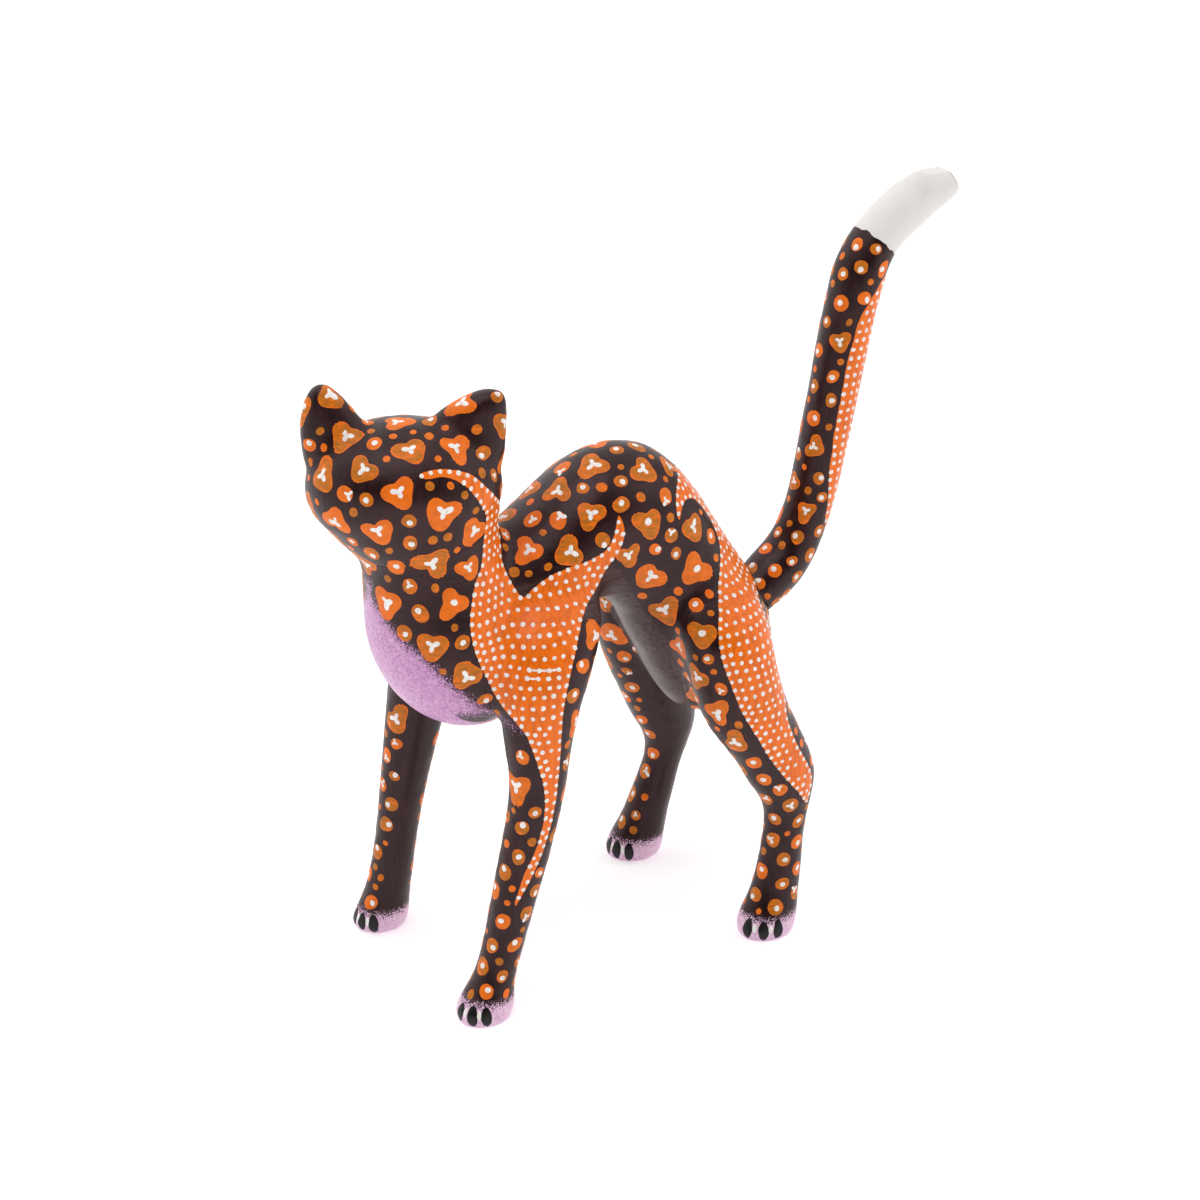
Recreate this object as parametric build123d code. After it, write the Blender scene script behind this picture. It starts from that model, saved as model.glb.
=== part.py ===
from build123d import *
import os
from math import cos, radians, sin

# Carved wooden cat in the style of an Oaxacan alebrije: arched torso, head turned back over the
# right shoulder, four legs glued on with dowels, two pegged ears and a push-fit tail.
#
# Millimetres, +Z up. The cat heads along -Y and its left side is +X. All sizes below are given in
# the carver's frame, whose origin lies on the ground midway between the feet. At the end every
# piece is shifted so that the origin is the bottom centre of the whole figure's box.

# ---- driving dimensions -------------------------------------------------------------------
FRAME_SHIFT = (0.04, -27.48, 0.0)  # from the carver's frame to the bottom centre of the box
GLUE_GAP = 0.05                   # glue film round every glued dowel
RUNNING_GAP = 0.06                # radial play of the tail dowel, which turns and slides
HOLE_RELIEF = 1.0                 # extra depth at the blind end of each dowel hole
BIG = 140.0                       # size of the cutting blocks

LEG_DOWEL_R, LEG_DOWEL_LENGTH = 3.0, 11.5
NECK_DOWEL_R, NECK_DOWEL_LENGTH = 4.0, 30.0
EAR_PEG_R, EAR_PEG_LENGTH = 1.5, 9.0
TAIL_DOWEL_R, TAIL_DOWEL_LENGTH = 3.0, 26.0

# ---- carved masses ------------------------------------------------------------------------
# Chest and neck: (y, z, lean in degrees, half width, half depth), from the brisket up.
CHEST = [
    (-29.5, 85.0, 10, 7.0, 6.5),
    (-32.0, 88.5, 10, 14.0, 12.0),
    (-35.0, 95.5, 10, 20.3, 17.5),
    (-38.5, 105.0, 8, 23.8, 20.5),
    (-41.0, 117.0, 5, 24.0, 21.5),
    (-42.0, 129.0, 5, 21.5, 21.0),
    (-43.5, 141.0, 8, 19.5, 20.5),
    (-45.5, 152.0, 10, 18.0, 18.5),
]
# Arched back: (y, z, tangent angle above +Y in degrees, half width, half depth), from inside the
# chest over the hump and down to the crotch.
ARCH = [
    (-38.0, 109.0, 22, 15.0, 16.0),
    (-25.0, 118.5, 20, 18.0, 19.0),
    (-12.5, 125.2, 18, 19.0, 19.8),
    (-2.8, 132.0, 13, 19.0, 20.4),
    (6.0, 137.3, 3, 19.0, 21.9),
    (15.8, 137.4, -10, 19.0, 24.0),
    (24.6, 131.8, -20, 19.3, 24.2),
    (32.5, 120.8, -33, 20.0, 22.6),
    (40.8, 106.4, -47, 21.5, 21.5),
    (48.0, 93.5, -58, 21.5, 21.4),
    (51.8, 82.0, -66, 19.0, 18.8),
    (52.5, 74.0, -75, 14.0, 14.0),
    (52.0, 68.5, -82, 7.0, 7.0),
]
# Legs: (z, x, y, half width, half depth), from inside the body down to the flat sole.
FRONT_LEFT_LEG = [
    (131.0, 8.0, -13.5, 5.0, 9.0),
    (122.5, 15.0, -12.8, 10.0, 15.0),
    (112.0, 20.5, -16.4, 11.5, 15.2),
    (101.0, 23.8, -19.9, 10.6, 13.2),
    (91.0, 26.0, -22.4, 9.0, 11.4),
    (75.0, 27.5, -23.8, 7.4, 8.9),
    (55.0, 28.3, -27.8, 6.5, 8.0),
    (36.0, 29.0, -33.2, 6.2, 7.0),
    (20.0, 29.7, -38.0, 6.0, 6.3),
    (9.0, 30.4, -42.2, 6.8, 7.4),
    (3.5, 30.8, -44.2, 7.8, 8.9),
    (0.0, 31.0, -44.6, 6.6, 7.8),
]
FRONT_RIGHT_LEG = [
    (128.0, -8.0, -24.0, 4.0, 7.0),
    (120.0, -13.5, -25.0, 8.5, 11.0),
    (110.0, -19.5, -27.8, 11.0, 13.2),
    (99.0, -23.6, -31.6, 10.4, 13.0),
    (88.0, -25.6, -35.5, 9.0, 11.2),
    (73.0, -27.0, -38.6, 7.6, 9.4),
    (54.0, -27.8, -42.2, 6.8, 7.8),
    (34.0, -28.6, -45.4, 6.0, 6.8),
    (19.0, -29.4, -47.8, 6.2, 7.0),
    (8.0, -30.2, -50.2, 7.2, 8.2),
    (3.2, -30.7, -51.4, 7.8, 9.0),
    (0.0, -31.0, -51.6, 6.8, 7.8),
]
HIND_LEFT_LEG = [
    (126.0, 7.0, 39.0, 4.0, 7.0),
    (116.0, 14.0, 40.5, 9.0, 12.5),
    (104.0, 20.4, 42.2, 12.0, 14.6),
    (92.0, 23.4, 44.3, 12.4, 14.0),
    (77.0, 25.6, 48.4, 11.2, 14.0),
    (64.0, 27.2, 55.3, 9.4, 12.8),
    (52.5, 27.9, 60.3, 8.0, 11.2),
    (43.0, 28.3, 62.2, 6.6, 7.8),
    (34.0, 28.6, 61.6, 6.0, 6.6),
    (21.0, 29.3, 59.7, 6.4, 7.2),
    (9.0, 30.2, 56.6, 7.6, 8.8),
    (3.5, 30.8, 54.8, 8.4, 9.7),
    (0.0, 31.0, 54.4, 7.4, 8.8),
]
HIND_RIGHT_LEG = [
    (126.0, -7.0, 37.0, 4.0, 7.0),
    (116.0, -14.0, 38.0, 9.0, 13.0),
    (104.0, -20.4, 39.0, 12.0, 16.0),
    (92.0, -23.6, 40.2, 12.2, 16.6),
    (77.0, -26.0, 42.5, 11.0, 14.5),
    (64.0, -27.0, 46.5, 9.6, 12.8),
    (52.0, -27.8, 50.3, 8.2, 11.0),
    (42.0, -28.4, 52.0, 6.8, 7.8),
    (31.0, -29.2, 49.8, 6.0, 6.6),
    (19.0, -29.9, 46.2, 6.6, 7.4),
    (8.0, -30.6, 42.6, 7.8, 9.0),
    (3.2, -30.9, 41.2, 8.4, 9.8),
    (0.0, -31.0, 41.0, 7.4, 8.8),
]
# Tail: its flat seat on the rump, then (y, z, tangent angle above +Y in degrees, radius) from
# the root to the cut end.
TAIL_SEAT = (64.5, 102.8)
TAIL_SEAT_ANGLE = 32.0
TAIL_SEAT_GAP = 0.2
TAIL_ROOT_R = 8.2
TAIL_COLLAR_R = 8.6
TAIL_SEAT_CLEARING_R = 9.6
TAIL = [
    (69.8, 106.1, 36, 8.2),
    (74.6, 110.0, 44, 8.3),
    (79.0, 115.0, 56, 7.9),
    (82.9, 122.4, 67, 7.5),
    (85.9, 131.2, 74, 7.4),
    (89.2, 146.7, 79, 7.6),
    (92.2, 162.6, 80, 7.7),
    (95.0, 178.4, 80, 7.9),
    (98.1, 193.6, 76, 8.0),
    (100.9, 203.2, 68, 7.9),
    (105.3, 210.6, 54, 6.9),
    (110.6, 215.4, 42, 6.2),
    (117.4, 220.1, 30, 5.7),
    (125.6, 223.8, 22, 4.7),
    (131.2, 225.9, 20, 3.2),
]
# Head: its own frame points F forward along the gaze, turned to the right from the heading.
HEAD_CENTRE = (0.0, -50.5, 161.5)
HEAD_TURN = 114.0
# Skull below the crown: (up from the centre, forward, out to the cat's left, half depth, half
# width), from the neck to the temples.
SKULL = [
    (-25.0, 3.0, -6.8, 16.0, 18.0),
    (-20.0, 3.0, -5.0, 19.0, 21.0),
    (-13.5, 2.0, -2.2, 20.5, 23.6),
    (-7.0, 1.2, -0.6, 21.5, 25.8),
    (0.0, 0.5, 0.2, 22.0, 26.6),
    (4.5, 0.0, 0.3, 20.5, 26.2),
]
# Cranium: half sizes of the oval crown along the gaze, across and upwards, and its offsets.
CRANIUM = (21.0, 27.6, 19.3)
CRANIUM_OFFSET = (-0.4, 0.3, 0.0)
# Muzzle: (distance along the gaze, rise, half width, half height), from inside the skull.
MUZZLE = [
    (8.0, -5.0, 15.0, 11.5),
    (16.0, -5.5, 13.5, 11.0),
    (22.0, -6.5, 11.5, 9.5),
    (26.5, -7.0, 9.0, 7.5),
    (29.0, -7.0, 6.0, 5.0),
]
# Ears: (up from the head's centre, out from its middle, half breadth, half thickness).
LEFT_EAR = [
    (5.0, 16.5, 10.5, 7.0),
    (13.0, 18.2, 10.2, 6.2),
    (19.0, 19.6, 8.7, 5.2),
    (24.0, 20.9, 6.4, 4.2),
    (28.0, 21.7, 3.8, 3.0),
    (29.8, 22.0, 1.8, 1.6),
]
RIGHT_EAR = [
    (5.0, 15.5, 11.5, 7.0),
    (13.0, 16.6, 11.8, 6.4),
    (18.5, 18.0, 10.8, 5.4),
    (22.5, 20.4, 8.5, 4.6),
    (25.4, 22.8, 5.6, 3.6),
    (27.2, 24.2, 3.0, 2.4),
]
EAR_SCOOP = (19.5, 20.5, 5.8)     # out, up and radius of the hollow in the ear's front
EAR_SCOOP_WALL = 1.2              # wood left between the hollow and the ear's middle plane
EAR_SEAT = (19.0, 13.0)           # out and up of the middle of the glued joint
EAR_LEAN = 27.0                   # the joint's normal leans outwards from upright
EAR_BLOCK = (50.0, 34.0, 40.0)    # cutting block: along the gaze, across and outwards

# ---- glued joints: a point on the flat seam, and the seam's normal towards the limb --------
NECK_SEAM = (0.0, -46.6, 146.1)
NECK_LEAN = 12.0                  # the neck leans forward of upright
NECK_BLOCK_SHIFT = -19.0          # the cutting block sits ahead of the dowel, clear of the hump
NECK_BLOCK = (140.0, 100.0, 90.0)
LEG_NORMAL = (0.95, 0.0, -0.31)
FRONT_LEFT_SEAM = (20.3, -18.6, 103.4)
FRONT_RIGHT_SEAM = (-20.5, -30.0, 102.0)
HIND_LEFT_SEAM = (17.5, 47.0, 98.0)
HIND_RIGHT_SEAM = (-17.5, 41.0, 98.0)
LEG_DIVIDE_Y = 10.0               # front legs lie ahead of this plane and hind legs behind it


def ring(centre, along, across, half_across, half_other):
    """An oval section through centre, square to along, with half_across measured on across."""
    return Plane(origin=centre, x_dir=across, z_dir=along) * scale(Circle(1), (half_across, half_other, 1))


def sagittal_loft(rows, upright):
    """Loft of sections whose centres lie in the plane x = 0."""
    sections = []
    for y, z, angle, half_width, half_depth in rows:
        turn = radians(angle)
        along = (0, -sin(turn), cos(turn)) if upright else (0, cos(turn), sin(turn))
        sections.append(ring((0, y, z), along, (1, 0, 0), half_width, half_depth))
    return loft(sections)


def leg_loft(rows):
    """Loft of level sections, ending in the flat sole."""
    return loft([ring((x, y, z), (0, 0, 1), (1, 0, 0), rx, ry) for z, x, y, rx, ry in rows])


def head_vector(forward, out, up):
    """A direction or offset in the head's frame, out being towards the cat's left ear."""
    turn = radians(HEAD_TURN)
    gaze = Vector(-sin(turn), -cos(turn), 0)
    left = Vector(cos(turn), -sin(turn), 0)
    return gaze * forward + left * out + Vector(0, 0, up)


def head_point(forward, out, up):
    return Vector(*HEAD_CENTRE) + head_vector(forward, out, up)


def skull_loft():
    across = head_vector(0, 1, 0)
    return loft([ring(head_point(forward, out, up), (0, 0, 1), across, half_width, half_depth)
                 for up, forward, out, half_depth, half_width in SKULL])


def cranium():
    depth, width, height = CRANIUM
    place = Plane(origin=head_point(*CRANIUM_OFFSET), x_dir=head_vector(1, 0, 0), z_dir=(0, 0, 1))
    return place * scale(Sphere(1), (depth, width, height))


def muzzle_loft():
    across = head_vector(0, 1, 0)
    gaze = head_vector(1, 0, 0)
    return loft([ring(head_point(f, 0, up), gaze, across, a, b) for f, up, a, b in MUZZLE])


def ear_axis(side):
    lean = radians(EAR_LEAN)
    return head_vector(0, side * sin(lean), cos(lean))


def ear_loft(rows, side):
    """Ear of level sections; side is 1 for the cat's left ear and -1 for its right."""
    across = head_vector(0, 1, 0)
    return loft([ring(head_point(0, side * out, up), (0, 0, 1), across, a, b)
                 for up, out, a, b in rows])


def ear_scoop(side):
    out, up, radius = EAR_SCOOP
    return Pos(*head_point(radius + EAR_SCOOP_WALL, side * out, up)) * Sphere(radius)


def block(seam, normal, along, length, width, height):
    """Cutting block standing on a seam plane, on the side the normal points to."""
    plane = Plane(origin=seam, x_dir=along, z_dir=normal)
    return plane * Box(length, width, height, align=(Align.CENTER, Align.CENTER, Align.MIN))


def leg_block(seam, side, front):
    """Everything beyond a leg's seam plane, ahead of or behind the leg divide."""
    normal = (side * LEG_NORMAL[0], 0, LEG_NORMAL[2])
    middle = LEG_DIVIDE_Y - BIG / 2 if front else LEG_DIVIDE_Y + BIG / 2
    centre = (seam[0], middle, seam[2])
    return block(centre, normal, (0, 1, 0), BIG, 2 * BIG, BIG)


def leg_axis(side):
    return (side * LEG_NORMAL[0], 0, LEG_NORMAL[2])


def dowel(seam, axis, radius, length):
    """A dowel whose middle lies on the seam it crosses."""
    return Plane(origin=seam, z_dir=axis) * Cylinder(radius, length)


def dowel_hole(seam, axis, radius, length, gap=GLUE_GAP):
    return dowel(seam, axis, radius + gap, length + 2 * HOLE_RELIEF)


def biggest(shape):
    """The largest solid of a cut, without any sliver the cut left behind."""
    return max(shape.solids(), key=lambda solid: solid.volume)


def write(name, shape):
    shape.label = name
    export_step(Pos(*FRAME_SHIFT) * shape, f"parts/{name}.step")


def main():
    os.makedirs("parts", exist_ok=True)
    pieces = {}

    carving = sagittal_loft(CHEST, True) + sagittal_loft(ARCH, False)
    for mass in (skull_loft(), cranium(), muzzle_loft()):
        carving += mass
    for rows in (FRONT_LEFT_LEG, FRONT_RIGHT_LEG, HIND_LEFT_LEG, HIND_RIGHT_LEG):
        carving += leg_loft(rows)
    for rows, side in ((LEFT_EAR, 1), (RIGHT_EAR, -1)):
        carving += ear_loft(rows, side)
        carving -= ear_scoop(side)

    # Ears first, then the head, then the legs, each cut off along its flat seam.
    for side, name in ((1, "left_ear"), (-1, "right_ear")):
        seam = head_point(0, side * EAR_SEAT[0], EAR_SEAT[1])
        axis = ear_axis(side)
        cutter = block(seam, axis, head_vector(1, 0, 0), *EAR_BLOCK)
        peg_hole = dowel_hole(seam, axis, EAR_PEG_R, EAR_PEG_LENGTH)
        pieces[name] = biggest((carving & cutter) - peg_hole)
        carving = carving - cutter - peg_hole
        pieces[f"{name}_peg"] = dowel(seam, axis, EAR_PEG_R, EAR_PEG_LENGTH)

    lean = radians(NECK_LEAN)
    axis = (0, -sin(lean), cos(lean))
    ahead = Vector(*NECK_SEAM) + Vector(0, cos(lean), sin(lean)) * NECK_BLOCK_SHIFT
    cutter = block(ahead, axis, (1, 0, 0), *NECK_BLOCK)
    hole = dowel_hole(NECK_SEAM, axis, NECK_DOWEL_R, NECK_DOWEL_LENGTH)
    pieces["head"] = biggest((carving & cutter) - hole)
    carving = carving - cutter - hole
    pieces["neck_dowel"] = dowel(NECK_SEAM, axis, NECK_DOWEL_R, NECK_DOWEL_LENGTH)

    legs = (
        ("front_left_leg", FRONT_LEFT_SEAM, 1, True),
        ("front_right_leg", FRONT_RIGHT_SEAM, -1, True),
        ("hind_left_leg", HIND_LEFT_SEAM, 1, False),
        ("hind_right_leg", HIND_RIGHT_SEAM, -1, False),
    )
    for name, seam, side, front in legs:
        axis = leg_axis(side)
        cutter = leg_block(seam, side, front)
        hole = dowel_hole(seam, axis, LEG_DOWEL_R, LEG_DOWEL_LENGTH)
        pieces[name] = biggest((carving & cutter) - hole)
        carving = carving - cutter - hole
        pieces[f"{name}_dowel"] = dowel(seam, axis, LEG_DOWEL_R, LEG_DOWEL_LENGTH)

    # The tail's flat seat on the rump, and the socket its dowel runs in.
    turn = radians(TAIL_SEAT_ANGLE)
    root = Vector(0, *TAIL_SEAT)
    back = Vector(0, cos(turn), sin(turn))
    seat = Plane(origin=root, x_dir=(1, 0, 0), z_dir=back)
    collar = seat * Cylinder(TAIL_COLLAR_R, 16, align=(Align.CENTER, Align.CENTER, Align.MAX))
    clearing = seat * Cylinder(TAIL_SEAT_CLEARING_R, 30, align=(Align.CENTER, Align.CENTER, Align.MIN))
    socket = dowel_hole(root, back, TAIL_DOWEL_R, TAIL_DOWEL_LENGTH, RUNNING_GAP)
    pieces["torso"] = biggest(carving + collar - clearing - socket)
    first = root + back * TAIL_SEAT_GAP
    tail_rows = [(first.Y, first.Z, TAIL_SEAT_ANGLE, TAIL_ROOT_R)] + TAIL
    tail_rows = [(y, z, angle, radius, radius) for y, z, angle, radius in tail_rows]
    pieces["tail"] = biggest(sagittal_loft(tail_rows, False) - socket)
    pieces["tail_dowel"] = dowel(root, back, TAIL_DOWEL_R, TAIL_DOWEL_LENGTH)

    for name, shape in pieces.items():
        write(name, shape)


main()
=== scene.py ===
import math

import bmesh
import bpy
import numpy as np
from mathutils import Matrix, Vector, noise
from mathutils.bvhtree import BVHTree

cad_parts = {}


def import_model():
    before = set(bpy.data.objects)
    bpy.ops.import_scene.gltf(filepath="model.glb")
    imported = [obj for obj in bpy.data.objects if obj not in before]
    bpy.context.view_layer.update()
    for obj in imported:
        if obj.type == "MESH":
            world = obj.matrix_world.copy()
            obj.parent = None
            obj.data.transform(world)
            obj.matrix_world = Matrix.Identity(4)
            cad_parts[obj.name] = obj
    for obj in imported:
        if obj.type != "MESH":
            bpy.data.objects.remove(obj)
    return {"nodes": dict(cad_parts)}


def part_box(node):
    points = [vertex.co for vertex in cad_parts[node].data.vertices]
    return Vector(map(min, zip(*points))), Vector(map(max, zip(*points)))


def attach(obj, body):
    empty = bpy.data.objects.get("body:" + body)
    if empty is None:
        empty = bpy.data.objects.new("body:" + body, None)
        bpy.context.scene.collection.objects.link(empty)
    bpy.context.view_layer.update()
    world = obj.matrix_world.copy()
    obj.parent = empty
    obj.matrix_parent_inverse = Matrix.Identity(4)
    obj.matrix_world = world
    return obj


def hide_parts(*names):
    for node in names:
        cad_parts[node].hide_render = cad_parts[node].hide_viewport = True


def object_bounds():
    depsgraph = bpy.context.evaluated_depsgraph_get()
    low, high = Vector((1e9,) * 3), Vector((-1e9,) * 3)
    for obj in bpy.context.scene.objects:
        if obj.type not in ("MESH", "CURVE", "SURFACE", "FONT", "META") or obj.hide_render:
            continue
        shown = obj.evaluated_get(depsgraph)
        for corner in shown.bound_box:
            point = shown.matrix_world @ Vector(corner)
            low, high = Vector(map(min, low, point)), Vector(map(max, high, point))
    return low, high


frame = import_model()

# Carved and painted wooden cat. All working sizes are millimetres in the row frame; meshes are
# scaled to metres when they are made. The cat heads along -Y and its left side is +X.
MM = 0.001
cad_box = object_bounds()
LOW = np.array(cad_box[0]) / MM
HIGH = np.array(cad_box[1]) / MM
rng = np.random.default_rng(738)

CARVED = ["torso", "head", "left_ear", "right_ear",
          "front_left_leg", "front_right_leg", "hind_left_leg", "hind_right_leg"]
SEAM_DOWELS = {"left_ear": "left_ear_peg", "right_ear": "right_ear_peg", "head": "neck_dowel",
               "front_left_leg": "front_left_leg_dowel", "front_right_leg": "front_right_leg_dowel",
               "hind_left_leg": "hind_left_leg_dowel", "hind_right_leg": "hind_right_leg_dowel"}
SEAM_REACH = {"left_ear": 25.0, "right_ear": 25.0, "head": 36.0, "front_left_leg": 34.0,
              "front_right_leg": 34.0, "hind_left_leg": 44.0, "hind_right_leg": 44.0}

COARSE_VOXEL = 1.25          # mm, first skin over the carved masses
FILLET_ROUNDS = 46           # rounds of smoothing that fill the hollows between masses
EVEN_ROUNDS = 3              # rounds that even out the whole skin
TAIL_VOXEL = 0.9             # mm, the same for the thinner tail
CRUMB_FACES = 200            # parts of the skin with no more faces than this are dropped
KNIFE_DEPTH = 0.10           # mm, soft facets left by knife and sandpaper
KNIFE_SCALE = 7.0            # mm, size of those facets
GROOVE = 0.07                # mm, how far the skin dips at a glued seam
SOLE_BAND = 0.9              # mm above the ground that stays flat
ON_PLANE = 2e-6              # m, how near a cut's plane its rim lies
GLUE_GAP = 0.05              # mm round a glued dowel
RUNNING_GAP = 0.06           # mm round the tail's dowel, which slides and turns
HOLE_RELIEF = 1.0            # mm left free at the bottom of a dowel's hole
SEAT_GAP = 0.05              # mm from the rump's seat to the middle of the joint
TAIL_GAP = 0.25              # mm from the middle of the joint to the tail's flat end
SEAT_R = 9.3                 # mm, the flat round seat on the rump


# ---- reading the frame -------------------------------------------------------------------------
def node_points(node):
    mesh = frame["nodes"][node].data
    points = np.empty(len(mesh.vertices) * 3, np.float32)
    mesh.vertices.foreach_get("co", points)
    return points.reshape(-1, 3).astype(float) / MM


def dowel_axis(node):
    """Middle, unit axis, radius and length of a round dowel, from its own vertices."""
    points = node_points(node)
    middle = (points.min(0) + points.max(0)) / 2
    axis = np.linalg.svd(points - points.mean(0), full_matrices=False)[2][0]
    along = (points - middle) @ axis
    middle = middle + axis * (along.max() + along.min()) / 2
    along = (points - middle) @ axis
    away = np.linalg.norm(points - middle - np.outer(along, axis), axis=1)
    return middle, axis, away.max(), along.max() - along.min()


def box_mm(node):
    low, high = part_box(node)
    return np.array(low) / MM, np.array(high) / MM


def unit(vector):
    vector = np.array(vector, float)
    return vector / np.linalg.norm(vector)


def seam_of(node):
    """A point on the limb's flat seam, the normal towards the limb, dowel radius and length."""
    middle, axis, radius, length = dowel_axis(SEAM_DOWELS[node])
    low, high = box_mm(node)
    if (((low + high) / 2 - middle) @ axis) < 0:
        axis = -axis
    return middle, axis, radius, length


SEAMS = {node: seam_of(node) for node in SEAM_DOWELS}
TAIL_ROOT, TAIL_AXIS, TAIL_DOWEL_R, TAIL_DOWEL_LENGTH = dowel_axis("tail_dowel")
if TAIL_AXIS[2] < 0:
    TAIL_AXIS = -TAIL_AXIS

# The head's own frame comes from its two ear pegs.
LEFT_PEG, RIGHT_PEG = SEAMS["left_ear"][0], SEAMS["right_ear"][0]
HEAD_LEFT = unit((LEFT_PEG - RIGHT_PEG) * [1, 1, 0])
HEAD_GAZE = np.array([HEAD_LEFT[1], -HEAD_LEFT[0], 0.0])
PEG_RISE = 13.0
HEAD_CENTRE = (LEFT_PEG + RIGHT_PEG) / 2 - [0, 0, PEG_RISE]
UP = np.array([0.0, 0.0, 1.0])


def head_point(forward, out, up):
    return HEAD_CENTRE + HEAD_GAZE * forward + HEAD_LEFT * out + UP * up


def in_head(points):
    """Forward, out (to the cat's left) and up coordinates of points in the head's frame."""
    away = points - HEAD_CENTRE
    return away @ HEAD_GAZE, away @ HEAD_LEFT, away @ UP


# ---- skin over the carved masses ---------------------------------------------------------------
def solid_copy(nodes, plugs):
    """One object with the vertices and faces of several nodes, and of the plugs that fill holes."""
    vertices, faces = [], []
    for node in nodes:
        mesh = frame["nodes"][node].data
        start = len(vertices)
        vertices.extend(tuple(v.co) for v in mesh.vertices)
        faces.extend([start + i for i in p.vertices] for p in mesh.polygons)
    for centre, axis, radius, length in plugs:
        start = len(vertices)
        side = unit(np.cross(axis, [0.3, 0.9, 0.2]))
        other = np.cross(axis, side)
        for end in (-0.5, 0.5):
            for k in range(16):
                turn = 2 * math.pi * k / 16
                offset = side * math.cos(turn) * radius + other * math.sin(turn) * radius
                vertices.append(tuple((centre + axis * length * end + offset) * MM))
        faces.append([start + k for k in reversed(range(16))])
        faces.append([start + 16 + k for k in range(16)])
        for k in range(16):
            n = (k + 1) % 16
            faces.append([start + k, start + n, start + 16 + n, start + 16 + k])
    mesh = bpy.data.meshes.new("solid")
    mesh.from_pydata(vertices, [], faces)
    body = bpy.data.objects.new("solid", mesh)
    bpy.context.scene.collection.objects.link(body)
    return body


def evaluated(body):
    """The body's mesh with its modifiers applied; the body itself is removed."""
    bpy.context.view_layer.update()
    mesh = bpy.data.meshes.new_from_object(body.evaluated_get(bpy.context.evaluated_depsgraph_get()))
    bpy.data.objects.remove(body)
    return mesh


def skin(nodes, plugs, voxel):
    body = solid_copy(nodes, plugs)
    remesh = body.modifiers.new("skin", "REMESH")
    remesh.mode = "VOXEL"
    remesh.voxel_size = voxel * MM
    return evaluated(body)


def arrays(mesh):
    points = np.empty(len(mesh.vertices) * 3, np.float32)
    mesh.vertices.foreach_get("co", points)
    edges = np.empty(len(mesh.edges) * 2, np.int32)
    mesh.edges.foreach_get("vertices", edges)
    quads = np.array([p.vertices[:] for p in mesh.polygons if len(p.vertices) == 4])
    return points.reshape(-1, 3).astype(float) / MM, edges.reshape(-1, 2), quads


def vertex_normals(points, quads):
    first, second, third, fourth = points[quads].transpose(1, 0, 2)
    diagonal = np.cross(third - first, fourth - second)
    normals = np.zeros_like(points)
    for corner in range(4):
        for k in range(3):
            normals[:, k] += np.bincount(quads[:, corner], diagonal[:, k], len(points))
    return normals / np.maximum(np.linalg.norm(normals, axis=1, keepdims=True), 1e-12)


def neighbour_shift(points, edges, degree):
    total = np.zeros_like(points)
    for k in range(3):
        total[:, k] = (np.bincount(edges[:, 0], points[edges[:, 1], k], len(points))
                       + np.bincount(edges[:, 1], points[edges[:, 0], k], len(points)))
    return total / degree[:, None] - points


def smoothed(points, edges, quads):
    """Fills the creases between masses and evens the skin, with little loss at convex forms."""
    degree = np.maximum(np.bincount(edges.ravel(), minlength=len(points)), 1)
    sole = points[:, 2] < SOLE_BAND
    ground = points[:, 2].copy()
    for _ in range(EVEN_ROUNDS):
        points = points + 0.6 * neighbour_shift(points, edges, degree)
        points = points - 0.62 * neighbour_shift(points, edges, degree)
        points[sole, 2] = ground[sole]
    for _ in range(FILLET_ROUNDS):
        shift = neighbour_shift(points, edges, degree)
        hollow = (shift * vertex_normals(points, quads)).sum(1)
        weight = np.clip((hollow - 0.004) / 0.03, 0, 1)
        points = points + 0.5 * shift * weight[:, None]
        points[sole, 2] = ground[sole]
    for _ in range(2 * EVEN_ROUNDS):
        points = points + 0.6 * neighbour_shift(points, edges, degree)
        points = points - 0.62 * neighbour_shift(points, edges, degree)
        points[sole, 2] = ground[sole]
    points[sole, 2] = np.where(ground[sole] < 0.75 * COARSE_VOXEL, 0.0, points[sole, 2])
    return points


def refined(mesh, levels):
    body = bpy.data.objects.new("refine", mesh)
    bpy.context.scene.collection.objects.link(body)
    subdivide = body.modifiers.new("refine", "SUBSURF")
    subdivide.levels = levels
    subdivide.render_levels = levels
    return evaluated(body)


def set_points(mesh, points):
    mesh.vertices.foreach_set("co", (points * MM).astype(np.float32).ravel())
    mesh.update()


def knife_marks(points, normals):
    """Small soft facets all over the wood."""
    fine = 0.4 * KNIFE_SCALE
    depth = np.array([noise.noise(Vector(p / KNIFE_SCALE)) + 0.5 * noise.noise(Vector(p / fine))
                      for p in points])
    depth[points[:, 2] < SOLE_BAND] = 0
    return points + normals * (KNIFE_DEPTH * depth)[:, None]


# ---- the cat's face, carved into the head ------------------------------------------------------
EYE = (17.5, 10.8, 3.2)          # forward, out, up of the eye's middle
NOSE = (28.6, 0.0, -3.6)
MOUTH_TOP = (29.0, 0.0, -6.4)
MOUTH_LOW = (28.0, 0.0, -9.4)
MOUTH_SIDE = (22.5, 7.6, -9.6)


def bump(distance, centre, width):
    return np.exp(-((distance - centre) / width) ** 2)


def segment_distance(points, start, end):
    line = end - start
    along = np.clip((points - start) @ line / (line @ line), 0, 1)
    return np.linalg.norm(points - start - along[:, None] * line, axis=1)


def mouth_curve(side):
    """Points from the middle of the lip out to the corner of the mouth."""
    low = np.array(MOUTH_LOW)
    corner = np.array(MOUTH_SIDE) * [1, side, 1]
    bend = (low + corner) / 2 + [2.4, 0, -1.6]
    steps = np.linspace(0, 1, 9)[:, None]
    local = (1 - steps) ** 2 * low + 2 * steps * (1 - steps) * bend + steps ** 2 * corner
    return [head_point(*p) for p in local]


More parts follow.
